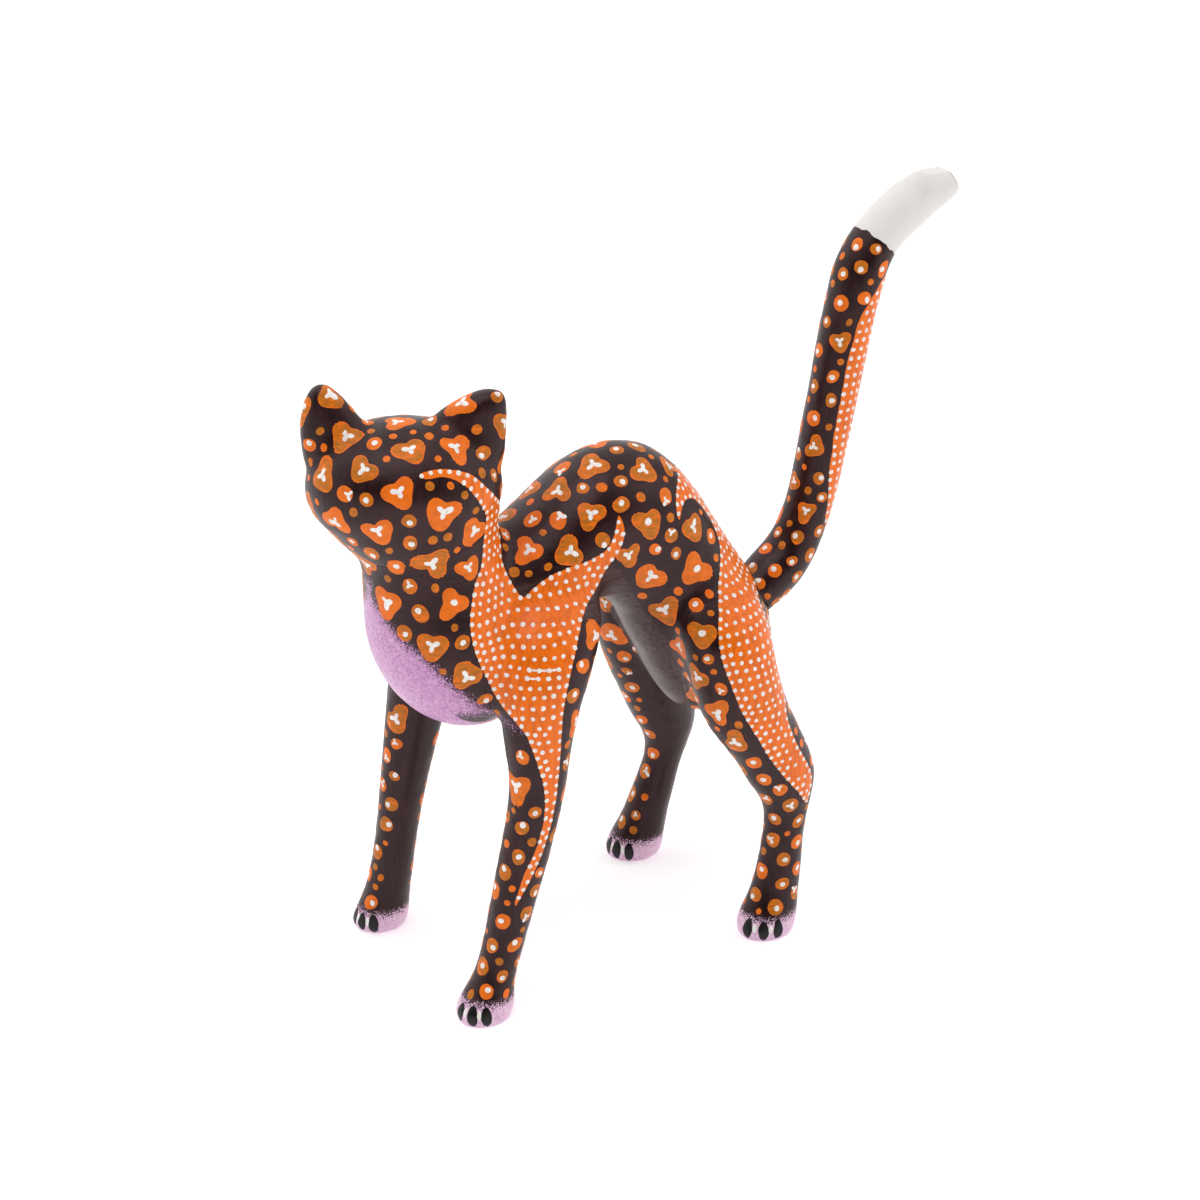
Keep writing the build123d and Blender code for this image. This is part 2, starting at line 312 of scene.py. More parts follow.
def carve_face(points, normals):
    forward, out, up = in_head(points)
    depth = np.zeros(len(points))
    for side in (1, -1):
        away = np.sqrt(((out - side * EYE[1]) / 1.25) ** 2 + (up - EYE[2]) ** 2
                       + (0.35 * np.minimum(forward - EYE[0] + 3, 0)) ** 2)
        front = forward > 6
        depth += front * (0.75 * bump(away, 0, 2.7) - 0.75 * bump(away, 4.7, 1.5))
        brow = segment_distance(points, head_point(17, side * 4.5, 8.6), head_point(14, side * 15, 9.6))
        depth += 0.8 * bump(brow, 0, 2.4)
        cheek = np.linalg.norm(points - head_point(15.5, side * 13.5, -8.5), axis=1)
        depth += 1.1 * bump(cheek, 0, 6.0)
        pad = np.linalg.norm(points - head_point(26.0, side * 4.6, -6.6), axis=1)
        depth += 0.8 * bump(pad, 0, 3.2)
        curve = mouth_curve(side)
        lip = np.min([segment_distance(points, a, b) for a, b in zip(curve, curve[1:])], axis=0)
        depth -= 0.75 * bump(lip, 0, 0.7)
    philtrum = segment_distance(points, head_point(*MOUTH_TOP), head_point(*MOUTH_LOW))
    depth -= 0.6 * bump(philtrum, 0, 0.6)
    nose = np.linalg.norm((points - head_point(*NOSE)) * [1, 1, 1.2], axis=1)
    depth += 0.9 * bump(nose, 0, 2.4)
    chin = np.linalg.norm(points - head_point(24.5, 0, -12.5), axis=1)
    depth += 0.8 * bump(chin, 0, 3.4)
    return points + normals * depth[:, None]


# ---- cutting the skin into its glued pieces ----------------------------------------------------
def region_faces(bm, node):
    """The faces near a piece's seam, so that its plane cuts nothing else."""
    centre = SEAMS[node][0]
    chosen = []
    for face in bm.faces:
        p = face.calc_center_median() / MM
        if (p - Vector(centre)).length > SEAM_REACH[node]:
            continue
        if node.endswith("leg") and (p.x * centre[0] < 0):
            continue
        if node.startswith("front") and p.y > centre[1] + 30:
            continue
        if node.startswith("hind") and p.y < centre[1] - 34:
            continue
        chosen.append(face)
    return chosen


def cut_seams(mesh):
    """The skin split along every seam plane, still open at the cuts."""
    bm = bmesh.new()
    bm.from_mesh(mesh)
    cuts = []
    for node in SEAM_DOWELS:
        centre, axis, _, _ = SEAMS[node]
        faces = region_faces(bm, node)
        corners = list({v for f in faces for v in f.verts})
        edges = list({e for f in faces for e in f.edges})
        done = bmesh.ops.bisect_plane(bm, geom=corners + edges + faces, dist=1e-7,
                                      plane_co=centre * MM, plane_no=axis)
        cuts.extend(e for e in done["geom_cut"] if isinstance(e, bmesh.types.BMEdge))
    bmesh.ops.split_edges(bm, edges=[e for e in set(cuts) if e.is_valid])
    return bm


def islands(bm):
    """Lists of faces, one for each separate part of the skin."""
    seen = set()
    found = []
    for first in bm.faces:
        if first in seen:
            continue
        stack, island = [first], []
        seen.add(first)
        while stack:
            face = stack.pop()
            island.append(face)
            for edge in face.edges:
                for other in edge.link_faces:
                    if other not in seen:
                        seen.add(other)
                        stack.append(other)
        found.append(island)
    return found


def owner_of(island):
    """The carved node whose box fits an island best."""
    points = np.array([v.co[:] for f in island[::3] for v in f.verts]) / MM
    low, high = points.min(0), points.max(0)

    def misfit(node):
        box = box_mm(node)
        return np.abs(box[0] - low).sum() + np.abs(box[1] - high).sum()
    return min(CARVED, key=misfit)


def cap(bm, centre, axis, hole_radius, hole_depth):
    """Closes the open loop in a seam plane, with the blind hole for the dowel."""
    at, normal = Vector(centre * MM), Vector(axis)
    rim = [e for e in bm.edges if len(e.link_faces) == 1
           and all(abs((v.co - at).dot(normal)) < ON_PLANE for v in e.verts)]
    side = Vector(unit(np.cross(axis, [0.3, 0.9, 0.2])))
    other = normal.cross(side)
    count = 32
    circle = [bm.verts.new(at + (side * math.cos(t) + other * math.sin(t)) * hole_radius * MM)
              for t in np.linspace(0, 2 * math.pi, count, endpoint=False)]
    ring = [bm.edges.new((circle[k], circle[(k + 1) % count])) for k in range(count)]
    filled = bmesh.ops.triangle_fill(bm, edges=rim + ring, use_beauty=True)
    for face in [g for g in filled["geom"] if isinstance(g, bmesh.types.BMFace)]:
        if all((v.co - at).length < hole_radius * MM * 1.001 for v in face.verts):
            bm.faces.remove(face)
    inner = [bm.verts.new(v.co + normal * hole_depth * MM) for v in circle]
    for k in range(count):
        bm.faces.new((circle[k], circle[(k + 1) % count], inner[(k + 1) % count], inner[k]))
    bm.faces.new(inner)


def piece_mesh(name, island, seams):
    """A closed mesh from an island of the skin, with its seams capped. seams: (centre, axis out of
    the wood, hole radius, hole depth)."""
    index = {}
    points, faces = [], []
    for face in island:
        corner = []
        for v in face.verts:
            if v not in index:
                index[v] = len(points)
                points.append(v.co.copy())
            corner.append(index[v])
        faces.append(corner)
    mesh = bpy.data.meshes.new(name)
    mesh.from_pydata(points, [], faces)
    bm = bmesh.new()
    bm.from_mesh(mesh)
    bm.normal_update()
    for centre, axis, radius, depth in seams:
        at, normal = Vector(centre * MM), Vector(axis)
        edge_verts = {v for e in bm.edges if len(e.link_faces) == 1 for v in e.verts
                      if abs((v.co - at).dot(normal)) < ON_PLANE}
        for v in edge_verts:
            dip = v.normal - normal * v.normal.dot(normal)
            v.co -= dip.normalized() * GROOVE * MM if dip.length > 1e-6 else Vector()
        cap(bm, centre, -np.array(axis), radius, depth)
    bmesh.ops.recalc_face_normals(bm, faces=bm.faces)
    bm.to_mesh(mesh)
    bm.free()
    return mesh


def new_piece(name, mesh, material, body, slot, *nodes):
    mesh.polygons.foreach_set("use_smooth", [True] * len(mesh.polygons))
    mesh.set_sharp_from_angle(angle=math.radians(48))
    mesh.materials.append(material)
    piece = bpy.data.objects.new(name, mesh)
    bpy.context.scene.collection.objects.link(piece)
    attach(piece, body)
    if nodes:
        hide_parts(*nodes)
    return piece


# ---- painted regions ---------------------------------------------------------------------------
def share(points, low, size):
    return [(low[0] + size[0] * a, low[1] + size[1] * b) for a, b in points]


SIDE_LOW = (LOW[1], LOW[2])
SIDE_SIZE = (HIGH[1] - LOW[1], HIGH[2] - LOW[2])

# Outlines in the side view, as shares of the figure's length and height.
SHOULDER_PANEL = [
    (0.112, 0.749), (0.130, 0.752), (0.147, 0.751), (0.167, 0.746), (0.185, 0.737), (0.201, 0.722),
    (0.222, 0.700), (0.246, 0.672), (0.246, 0.630), (0.240, 0.605), (0.250, 0.573), (0.260, 0.558),
    (0.276, 0.566), (0.298, 0.577), (0.322, 0.584), (0.356, 0.590), (0.382, 0.598), (0.396, 0.612),
    (0.402, 0.626), (0.409, 0.641), (0.415, 0.618), (0.404, 0.592), (0.386, 0.571), (0.372, 0.549),
    (0.352, 0.541), (0.334, 0.532), (0.320, 0.517), (0.309, 0.500), (0.297, 0.480), (0.288, 0.458),
    (0.280, 0.431), (0.276, 0.406), (0.273, 0.360), (0.267, 0.303), (0.257, 0.261), (0.240, 0.222),
    (0.215, 0.184), (0.199, 0.163), (0.215, 0.205), (0.233, 0.238), (0.247, 0.279), (0.248, 0.322),
    (0.239, 0.360), (0.228, 0.397), (0.217, 0.416), (0.207, 0.433), (0.193, 0.463), (0.178, 0.494),
    (0.171, 0.519), (0.169, 0.541), (0.173, 0.563), (0.183, 0.592), (0.199, 0.618), (0.203, 0.646),
    (0.205, 0.678), (0.195, 0.695), (0.185, 0.711), (0.173, 0.726), (0.157, 0.738), (0.138, 0.744),
    (0.118, 0.744),
]
SHOULDER_PANEL_TOP = 0.655       # share of the height where the right side's panel ends
THIGH_PANEL = [
    (0.528, 0.662), (0.511, 0.650), (0.504, 0.636), (0.503, 0.622), (0.506, 0.617), (0.514, 0.629),
    (0.526, 0.635), (0.546, 0.628), (0.566, 0.606), (0.578, 0.583), (0.580, 0.562), (0.571, 0.537),
    (0.560, 0.514), (0.548, 0.493), (0.538, 0.469), (0.537, 0.440), (0.545, 0.410), (0.557, 0.376),
    (0.571, 0.347), (0.590, 0.317), (0.611, 0.283), (0.637, 0.249), (0.663, 0.220), (0.685, 0.194),
    (0.694, 0.230), (0.679, 0.261), (0.661, 0.290), (0.650, 0.316), (0.645, 0.339), (0.649, 0.357),
    (0.662, 0.380), (0.690, 0.430), (0.705, 0.470), (0.700, 0.520), (0.672, 0.575), (0.640, 0.625),
    (0.590, 0.668), (0.560, 0.677),
]
SPINE_BAND = 3.6                 # mm either side of the spine that the thigh panels leave dark
NECK_BAND = 6.0                  # the same for the shoulder panels
# Height share of the lilac bib's upper border against share of length, front of the chest first.
BIB_Y = [0.040, 0.0690, 0.0702, 0.0755, 0.0868, 0.105, 0.132, 0.166, 0.205, 0.240, 0.290]
BIB_Z = [0.600, 0.5850, 0.5640, 0.5465, 0.5260, 0.511, 0.478, 0.444, 0.412, 0.392, 0.372]
# Border of the plain belly, the same way, from the arch down to the crotch; it stays free of spots, and its
# greyer colour is a painted reflection of the floor.
BELLY_Y = [0.395, 0.415, 0.440, 0.466, 0.488, 0.507, 0.530]
BELLY_Z = [0.575, 0.561, 0.525, 0.485, 0.454, 0.430, 0.380]
BRISKET_Z = 95.0                 # below this the front legs are dark
PAW_TOP = 7.2
TAIL_TIP = (0.872, 0.9165)        # share of length and height of the middle of the white tip's edge
TAIL_TIP_ANGLE = 50.0
# Half width in degrees round the tail's back against share of height.
STRIPE_Z = [0.50, 0.555, 0.614, 0.673, 0.77, 0.83, 0.873, 0.893]
STRIPE_HALF = [10.0, 70.0, 96.0, 105.0, 109.0, 101.0, 66.0, 0.0]


def smooth_loop(points, steps):
    """A closed Catmull-Rom curve through the points."""
    p = np.array(points, float)
    out = []
    for k in range(len(p)):
        a, b, c, d = p[k - 1], p[k], p[(k + 1) % len(p)], p[(k + 2) % len(p)]
        for t in np.arange(steps) / steps:
            out.append(0.5 * (2 * b + (c - a) * t + (2 * a - 5 * b + 4 * c - d) * t ** 2
                              + (3 * b - a - 3 * c + d) * t ** 3))
    return np.array(out)


def signed_distance(points, loop):
    """Distance to a closed loop in the plane, positive inside."""
    best = np.full(len(points), 1e9)
    inside = np.zeros(len(points), bool)
    x, y = points[:, 0], points[:, 1]
    for (ax, ay), (bx, by) in zip(loop, np.roll(loop, -1, 0)):
        dx, dy = bx - ax, by - ay
        t = np.clip(((x - ax) * dx + (y - ay) * dy) / max(dx * dx + dy * dy, 1e-12), 0, 1)
        best = np.minimum(best, (x - ax - t * dx) ** 2 + (y - ay - t * dy) ** 2)
        cross = (ay > y) != (by > y)
        if dy != 0:
            inside ^= cross & (x < ax + (y - ay) * dx / dy)
    best = np.sqrt(best)
    return np.where(inside, best, -best)


def middles(node, heights, reach, axis):
    """The middle of a node's slice at each height, along one axis; none where the slice is empty."""
    points = node_points(node)
    found = []
    for z in heights:
        near = points[np.abs(points[:, 2] - z) < reach, axis]
        found.append((near.min() + near.max()) / 2 if len(near) else np.nan)
    return np.array(found)


def leg_lead(left, right):
    """How far ahead of its fellow the right leg stands, against height."""
    heights = np.arange(4.0, 112.0, 9.0)
    lead = middles(right, heights, 5, 1) - middles(left, heights, 5, 1)
    return heights, np.nan_to_num(lead, nan=0.0)


def leg_middle(node, end):
    """Distance of a leg's middle from the figure's mid-plane, against height; end above the leg."""
    heights = np.arange(4.0, 96.0, 9.0)
    return np.append(heights, 120.0), np.append(np.abs(middles(node, heights, 5, 0)), end)


FRONT_LEAD = leg_lead("front_left_leg", "front_right_leg")
HIND_LEAD = leg_lead("hind_left_leg", "hind_right_leg")


def lead_at(z, lead):
    """A leg's lead at height z, fading out above the legs."""
    return np.interp(z, *lead) * np.clip((150 - z) / 40, 0, 1)


def side_view(points, lead):
    """Side-view coordinates, the right side brought over to the left side's outlines."""
    z = points[:, 2]
    y = points[:, 1] - np.where(points[:, 0] < 0, lead_at(z, lead), 0)
    return np.stack([y, z], 1)


LEG_MIDDLES = {(pair, side): leg_middle(f"{pair}_{side}_leg", end)
               for pair, end in (("front", NECK_BAND), ("hind", SPINE_BAND))
               for side in ("left", "right")}


def outward(points, pair):
    """How far points lie outside the middle of their leg, or of the spine band above the legs."""
    left = np.interp(points[:, 2], *LEG_MIDDLES[(pair, "left")])
    right = np.interp(points[:, 2], *LEG_MIDDLES[(pair, "right")])
    return np.abs(points[:, 0]) - np.where(points[:, 0] > 0, left, right)


SHOULDER_LOOP = smooth_loop(share(SHOULDER_PANEL, SIDE_LOW, SIDE_SIZE), 4)
THIGH_LOOP = smooth_loop(share(THIGH_PANEL, SIDE_LOW, SIDE_SIZE), 4)


def panel_distance(points):
    """Signed distance in mm to the orange panels of the body, positive inside."""
    shoulder = signed_distance(side_view(points, FRONT_LEAD), SHOULDER_LOOP)
    top = SIDE_LOW[1] + SHOULDER_PANEL_TOP * SIDE_SIZE[1]
    right = points[:, 0] < 0
    shoulder = np.where(right, np.minimum(shoulder, (top - points[:, 2])), shoulder)
    shoulder = np.minimum(shoulder, outward(points, "front"))
    thigh = signed_distance(side_view(points, HIND_LEAD), THIGH_LOOP)
    thigh = np.minimum(thigh, outward(points, "hind"))
    return np.maximum(shoulder, thigh)


def below_border(points, border_y, border_z):
    """How far points lie under a border given as shares of length and height, and its y values."""
    y = LOW[1] + np.array(border_y) * SIDE_SIZE[0]
    z = LOW[2] + np.array(border_z) * SIDE_SIZE[1]
    return np.interp(points[:, 1], y, z) - points[:, 2], y


def bib_distance(points):
    under, y = below_border(points, BIB_Y, BIB_Z)
    on_chest = (points[:, 2] > box_mm("torso")[0][2] + 10) & (points[:, 1] < y[-1])
    return np.where(on_chest, 0.75 * under, -9.0)


def belly_distance(points):
    under, y = below_border(points, BELLY_Y, BELLY_Z)
    return np.where(points[:, 1] > y[0] - 30, 0.7 * under, -9.0)


def inner_ear_distance(points):
    found = np.full(len(points), -9.0)
    forward, out, up = in_head(points)
    for side in (1, -1):
        away = np.sqrt((0.9 * (out - side * 19.5)) ** 2 + (0.72 * (up - 20.0)) ** 2)
        found = np.maximum(found, np.where(forward > 0.6, 5.4 - away, -9.0))
    return found


tail_low, tail_high = node_points("tail").min(0), node_points("tail").max(0)
TAIL_HEIGHTS = np.arange(tail_low[2], tail_high[2] + 1, 4.0)
TAIL_MIDDLES = middles("tail", TAIL_HEIGHTS, 3.5, 1)
TAIL_R = 7.5                     # mm, turns an angle round the tail into a width


def tail_middle(z):
    """The y of the tail's middle at height z."""
    good = ~np.isnan(TAIL_MIDDLES)
    return np.interp(z, TAIL_HEIGHTS[good], TAIL_MIDDLES[good])


def stripe_half(z):
    height = LOW[2] + np.array(STRIPE_Z) * SIDE_SIZE[1]
    return np.interp(z, height, STRIPE_HALF, left=-60.0, right=-60.0)


def tail_stripe_distance(points):
    angle = np.degrees(np.arctan2(points[:, 0], points[:, 1] - tail_middle(points[:, 2])))
    return (stripe_half(points[:, 2]) - np.abs(angle)) * TAIL_R * math.pi / 180


def risen(degrees):
    """The unit vector that points backwards and up by an angle."""
    turn = math.radians(degrees)
    return np.array([0.0, math.cos(turn), math.sin(turn)])


tail_box = box_mm("tail")
TIP_CUT = np.array([0.0, tail_box[1][1] - 1.3, tail_box[1][2] - 3.6])
TIP_CUT_AXIS = unit(risen(30))


def tip_distance(points):
    at = np.array([0, LOW[1] + TAIL_TIP[0] * SIDE_SIZE[0], LOW[2] + TAIL_TIP[1] * SIDE_SIZE[1]])
    return (points - at) @ risen(TAIL_TIP_ANGLE)


def set_attribute(mesh, name, values):
    attribute = mesh.attributes.new(name, "FLOAT", "POINT")
    attribute.data.foreach_set("value", np.asarray(values, np.float32))


def lilac_distance(points, node):
    """The bib on the chest and the tops of the front legs, and the inside of the ears."""
    if node == "torso":
        return bib_distance(points)
    if node.startswith("front"):
        return np.minimum(bib_distance(points), 0.8 * (points[:, 2] - BRISKET_Z))
    if node.endswith("ear"):
        return inner_ear_distance(points)
    return np.full(len(points), -9.0)


def seam_distance(points, node):
    """Distance to the seam that shows on the inside of the hind left thigh."""
    if node not in ("torso", "hind_left_leg"):
        return np.full(len(points), 9.0)
    centre, axis, _, _ = SEAMS["hind_left_leg"]
    near = np.linalg.norm(points - centre, axis=1) < SEAM_REACH["hind_left_leg"]
    return np.where(near & (points[:, 2] < centre[2] - 8), np.abs((points - centre) @ axis), 9.0)


def paint_regions(mesh, node):
    """Writes each painted region's signed distance on the mesh, for its material to read."""
    points, _, _ = arrays(mesh)
    none = np.full(len(points), -9.0)
    is_tail = node == "tail"
    set_attribute(mesh, "panel", tail_stripe_distance(points) if is_tail else panel_distance(points))
    set_attribute(mesh, "bib", lilac_distance(points, node))
    set_attribute(mesh, "paw", PAW_TOP - points[:, 2] if node.endswith("leg") else none)
    set_attribute(mesh, "tip", tip_distance(points) if is_tail else none)
    set_attribute(mesh, "sawn", (points - TIP_CUT) @ TIP_CUT_AXIS if is_tail else none)
    set_attribute(mesh, "belly", belly_distance(points) if node == "torso" else none)
    set_attribute(mesh, "seam", seam_distance(points, node))


# ---- paint dabs --------------------------------------------------------------------------------
class Dabs:
    """Collects thin closed dabs of paint and makes one mesh of them."""

    def __init__(self):
        self.points, self.faces, self.rim, self.tint = [], [], [], []

    def add(self, surface, centre, normal, up, outline, height, base=0.0, rings=3, tint=0.5):
        """outline: radius in mm at each of its equal angles, the first one towards side."""
        normal = unit(normal)
        up = unit(up - normal * (up @ normal))
        side = np.cross(up, normal)
        count = len(outline)
        angles = np.arange(count) * 2 * math.pi / count
        start = len(self.points)
        self._put(surface, centre, base + height, 0.0, tint)
        for ring in range(1, rings + 1):
            t = ring / rings
            rise = base - 0.05 if ring == rings else base + height * (1 - t ** 3) ** 0.5
            for angle, radius in zip(angles, outline):
                spot = centre + radius * t * (math.cos(angle) * side + math.sin(angle) * up)
                self._put(surface, spot, rise, t, tint)
        self._put(surface, centre, base - 0.14, 0.0, tint)
        last = start + 1 + (rings - 1) * count
        bottom = start + 1 + rings * count
        for k in range(count):
            n = (k + 1) % count
            self.faces.append((start, start + 1 + k, start + 1 + n))
            for ring in range(rings - 1):
                a = start + 1 + ring * count
                self.faces.append((a + k, a + count + k, a + count + n, a + n))
            self.faces.append((last + n, last + k, bottom))

    def _put(self, surface, point, rise, rim, tint):
        at, normal, _, _ = surface.find_nearest(Vector(point))
        self.points.append(np.array(at) + np.array(normal) * rise)
        self.rim.append(rim)
        self.tint.append(tint)

    def mesh(self, name):
        mesh = bpy.data.meshes.new(name)
        mesh.from_pydata([tuple(p * MM) for p in self.points], [], self.faces)
        set_attribute(mesh, "rim", self.rim)
        set_attribute(mesh, "tint", self.tint)
        bm = bmesh.new()
        bm.from_mesh(mesh)
        bmesh.ops.recalc_face_normals(bm, faces=bm.faces)
        bm.to_mesh(mesh)
        bm.free()
        return mesh


def wobble(count, amount):
    """A soft random outline of mean 1."""
    angles = np.arange(count) * 2 * math.pi / count
    shape = np.ones(count)
    for order in (2, 3, 4):
        shape += amount / order * math.sqrt(2) * rng.normal() * np.cos(order * angles + rng.uniform(0, 6.3))
    return shape


def round_outline(radius, count=18, aspect=None):
    angles = np.arange(count) * 2 * math.pi / count
    aspect = rng.uniform(0.78, 1.0) if aspect is None else aspect
    lean = rng.uniform(0, math.pi)
    oval = 1 / np.sqrt(np.cos(angles - lean) ** 2 + (np.sin(angles - lean) / aspect) ** 2)
    return radius * oval * wobble(count, 0.05)


def heart_outline(radius, count=30):
    """A blunt heart: two lobes above a point, sides nearly straight."""
    angles = np.arange(count) * 2 * math.pi / count
    notch = ((angles - math.pi / 2 + math.pi) % (2 * math.pi)) - math.pi
    depth = rng.uniform(0.04, 0.22)
    lobes = rng.uniform(0.13, 0.2) * np.cos(3 * (angles + math.pi / 2))
    shape = 0.88 + lobes - depth * np.exp(-(notch / 0.4) ** 2)
    stretch = 1 + rng.uniform(-0.08, 0.1) * np.cos(2 * angles)
    return radius * shape * stretch * wobble(count, 0.07)


def trefoil_outline(radius, count=24):
    angles = np.arange(count) * 2 * math.pi / count
    lobes = 0.66 + 0.34 * np.cos(3 * (angles + math.pi / 2))
    lobes += 0.12 * rng.normal() * np.cos(angles + rng.uniform(0, 6))
    return radius * np.maximum(lobes, 0.3) * wobble(count, 0.12)


def almond(half_width, half_height, count=28):
    angles = np.arange(count) * 2 * math.pi / count
    x, y = np.cos(angles), np.sin(angles)
    return half_width * half_height / np.sqrt((half_height * x) ** 2 + (half_width * y) ** 2) * (
        1 - 0.10 * np.abs(np.sin(2 * angles)))


# ---- materials ---------------------------------------------------------------------------------
def srgb(code):
    channels = [int(code[k:k + 2], 16) / 255 for k in (1, 3, 5)]
    return [c / 12.92 if c <= 0.04045 else ((c + 0.055) / 1.055) ** 2.4 for c in channels] + [1.0]


class Graph:
    """A short way to write shader nodes."""

    def __init__(self, name):
        self.material = bpy.data.materials.new(name)
        self.material.use_nodes = True
        self.nodes = self.material.node_tree.nodes
        self.links = self.material.node_tree.links
        self.shader = self.nodes["Principled BSDF"]

    def put(self, socket, value):
        if isinstance(value, bpy.types.NodeSocket):
            self.links.new(value, socket)
        else:
            socket.default_value = value

    def attribute(self, name):
        node = self.nodes.new("ShaderNodeAttribute")
        node.attribute_name = name
        return node.outputs["Fac"]

    def place(self, scale):
        """Object coordinates stretched by three scales."""
        coordinates = self.nodes.new("ShaderNodeTexCoord")
        mapping = self.nodes.new("ShaderNodeMapping")
        mapping.inputs["Scale"].default_value = scale
        self.links.new(coordinates.outputs["Object"], mapping.inputs["Vector"])
        return mapping.outputs["Vector"]

    def noise(self, vector, scale, detail=3.0, rough=0.55):
        node = self.nodes.new("ShaderNodeTexNoise")
        self.links.new(vector, node.inputs["Vector"])
        node.inputs["Scale"].default_value = scale
        node.inputs["Detail"].default_value = detail
        node.inputs["Roughness"].default_value = rough
        return node.outputs["Fac"]

    def math(self, operation, a, b=0.0, c=0.0):
        node = self.nodes.new("ShaderNodeMath")
        node.operation = operation
        for socket, value in zip(node.inputs, (a, b, c)):
            self.put(socket, value)
        return node.outputs[0]

    def step(self, value, low, high, out_low=0.0, out_high=1.0):
        node = self.nodes.new("ShaderNodeMapRange")
        node.interpolation_type = "SMOOTHSTEP"
        self.put(node.inputs["Value"], value)
        for name, number in (("From Min", low), ("From Max", high),
                             ("To Min", out_low), ("To Max", out_high)):
            node.inputs[name].default_value = number
        return node.outputs["Result"]

    def edge(self, name, noise, width):
        """A painted region's signed distance, its border shaken by a noise."""
        shake = self.math("MULTIPLY", self.math("SUBTRACT", noise, 0.5), width)
        return self.math("ADD", self.attribute(name), shake)

    def mix(self, factor, a, b):
        node = self.nodes.new("ShaderNodeMix")
        node.data_type = "RGBA"
        self.put(node.inputs["Factor"], factor)
        self.put(node.inputs[6], a)
        self.put(node.inputs[7], b)
        return node.outputs[2]

    def bump(self, height, strength, distance, normal=None):
        node = self.nodes.new("ShaderNodeBump")
        node.inputs["Strength"].default_value = strength
        node.inputs["Distance"].default_value = distance
        self.links.new(height, node.inputs["Height"])
        if normal is not None:
            self.links.new(normal, node.inputs["Normal"])
        return node.outputs["Normal"]


DARK = srgb("#1C090A")
DARK_WARM = srgb("#2B1312")
DARK_GREY = srgb("#3C2224")
ORANGE = srgb("#F4740E")
ORANGE_DEEP = srgb("#D95F06")
OCHRE = srgb("#BE6C10")
OCHRE_DARK = srgb("#8F5410")
LILAC = srgb("#D29CCB")
LILAC_DEEP = srgb("#B07CAD")
LILAC_LIGHT = srgb("#E3B9D2")
PAW_PINK = srgb("#EBC9DF")
PAW_DEEP = srgb("#DBAFD1")
TIP_WHITE = srgb("#E4E1DE")
TIP_GREY = srgb("#CCC7C2")
TIP_SPECK = srgb("#9A8A7A")
SEAM_FILLER = srgb("#8C7A70")
# painted reflection: the belly's grey-brown stands in for the pale floor seen in the satin paint
BELLY_FLOOR_REFLECTION_GREY = srgb("#4B3936")
BARE_WOOD = srgb("#B98F5E")
BARE_DARK = srgb("#7C5833")
BARE_LIGHT = srgb("#D9B583")


def dark_ground(g, streak, cloud, ragged):
    """Near-black purple brown that shows the grain; on the plain belly a greyer colour is painted in as a
    reflection of the pale floor.
    """
    ground = g.mix(g.step(streak, 0.42, 0.68), DARK, DARK_WARM)
    ground = g.mix(g.step(cloud, 0.5, 0.72, 0.0, 0.45), ground, DARK_GREY)
    # painted reflection: below the belly's border the ground turns grey-brown, in place of the floor's
    # reflection
    belly_reflection_paint = g.mix(g.step(streak, 0.35, 0.65), BELLY_FLOOR_REFLECTION_GREY, DARK_WARM)
    return g.mix(g.step(g.edge("belly", ragged, 2.0), -0.5, 0.6, 0.0, 0.85), ground, belly_reflection_paint)


def brushed_orange(g, cloud, panel):
    """Orange laid on in upright strokes, plainer along the panel's border."""
    brush = g.noise(g.place((680, 680, 55)), 1.0, 4.0, 0.65)
    orange = g.mix(g.step(brush, 0.42, 0.62), ORANGE, ORANGE_DEEP)
    orange = g.mix(g.step(brush, 0.58, 0.72, 0.0, 0.8), orange, OCHRE)
    orange = g.mix(g.step(cloud, 0.5, 0.75, 0.0, 0.35), orange, OCHRE)
    inside = g.math("MULTIPLY", g.step(panel, 0.45, 1.2), 0.7)
    return g.mix(inside, ORANGE, orange)


def sponged_lilac(g, stipple, speckle):
    lilac = g.mix(g.step(stipple, 0.35, 0.65), LILAC, LILAC_DEEP)
    return g.mix(g.step(speckle, 0.5, 0.62, 0.0, 0.5), lilac, LILAC_LIGHT)


def thick_white(g, cloud, speckle):
    white = g.mix(g.step(cloud, 0.45, 0.8, 0.0, 0.6), TIP_WHITE, TIP_GREY)
    return g.mix(g.step(speckle, 0.70, 0.76, 0.0, 0.7), white, TIP_SPECK)


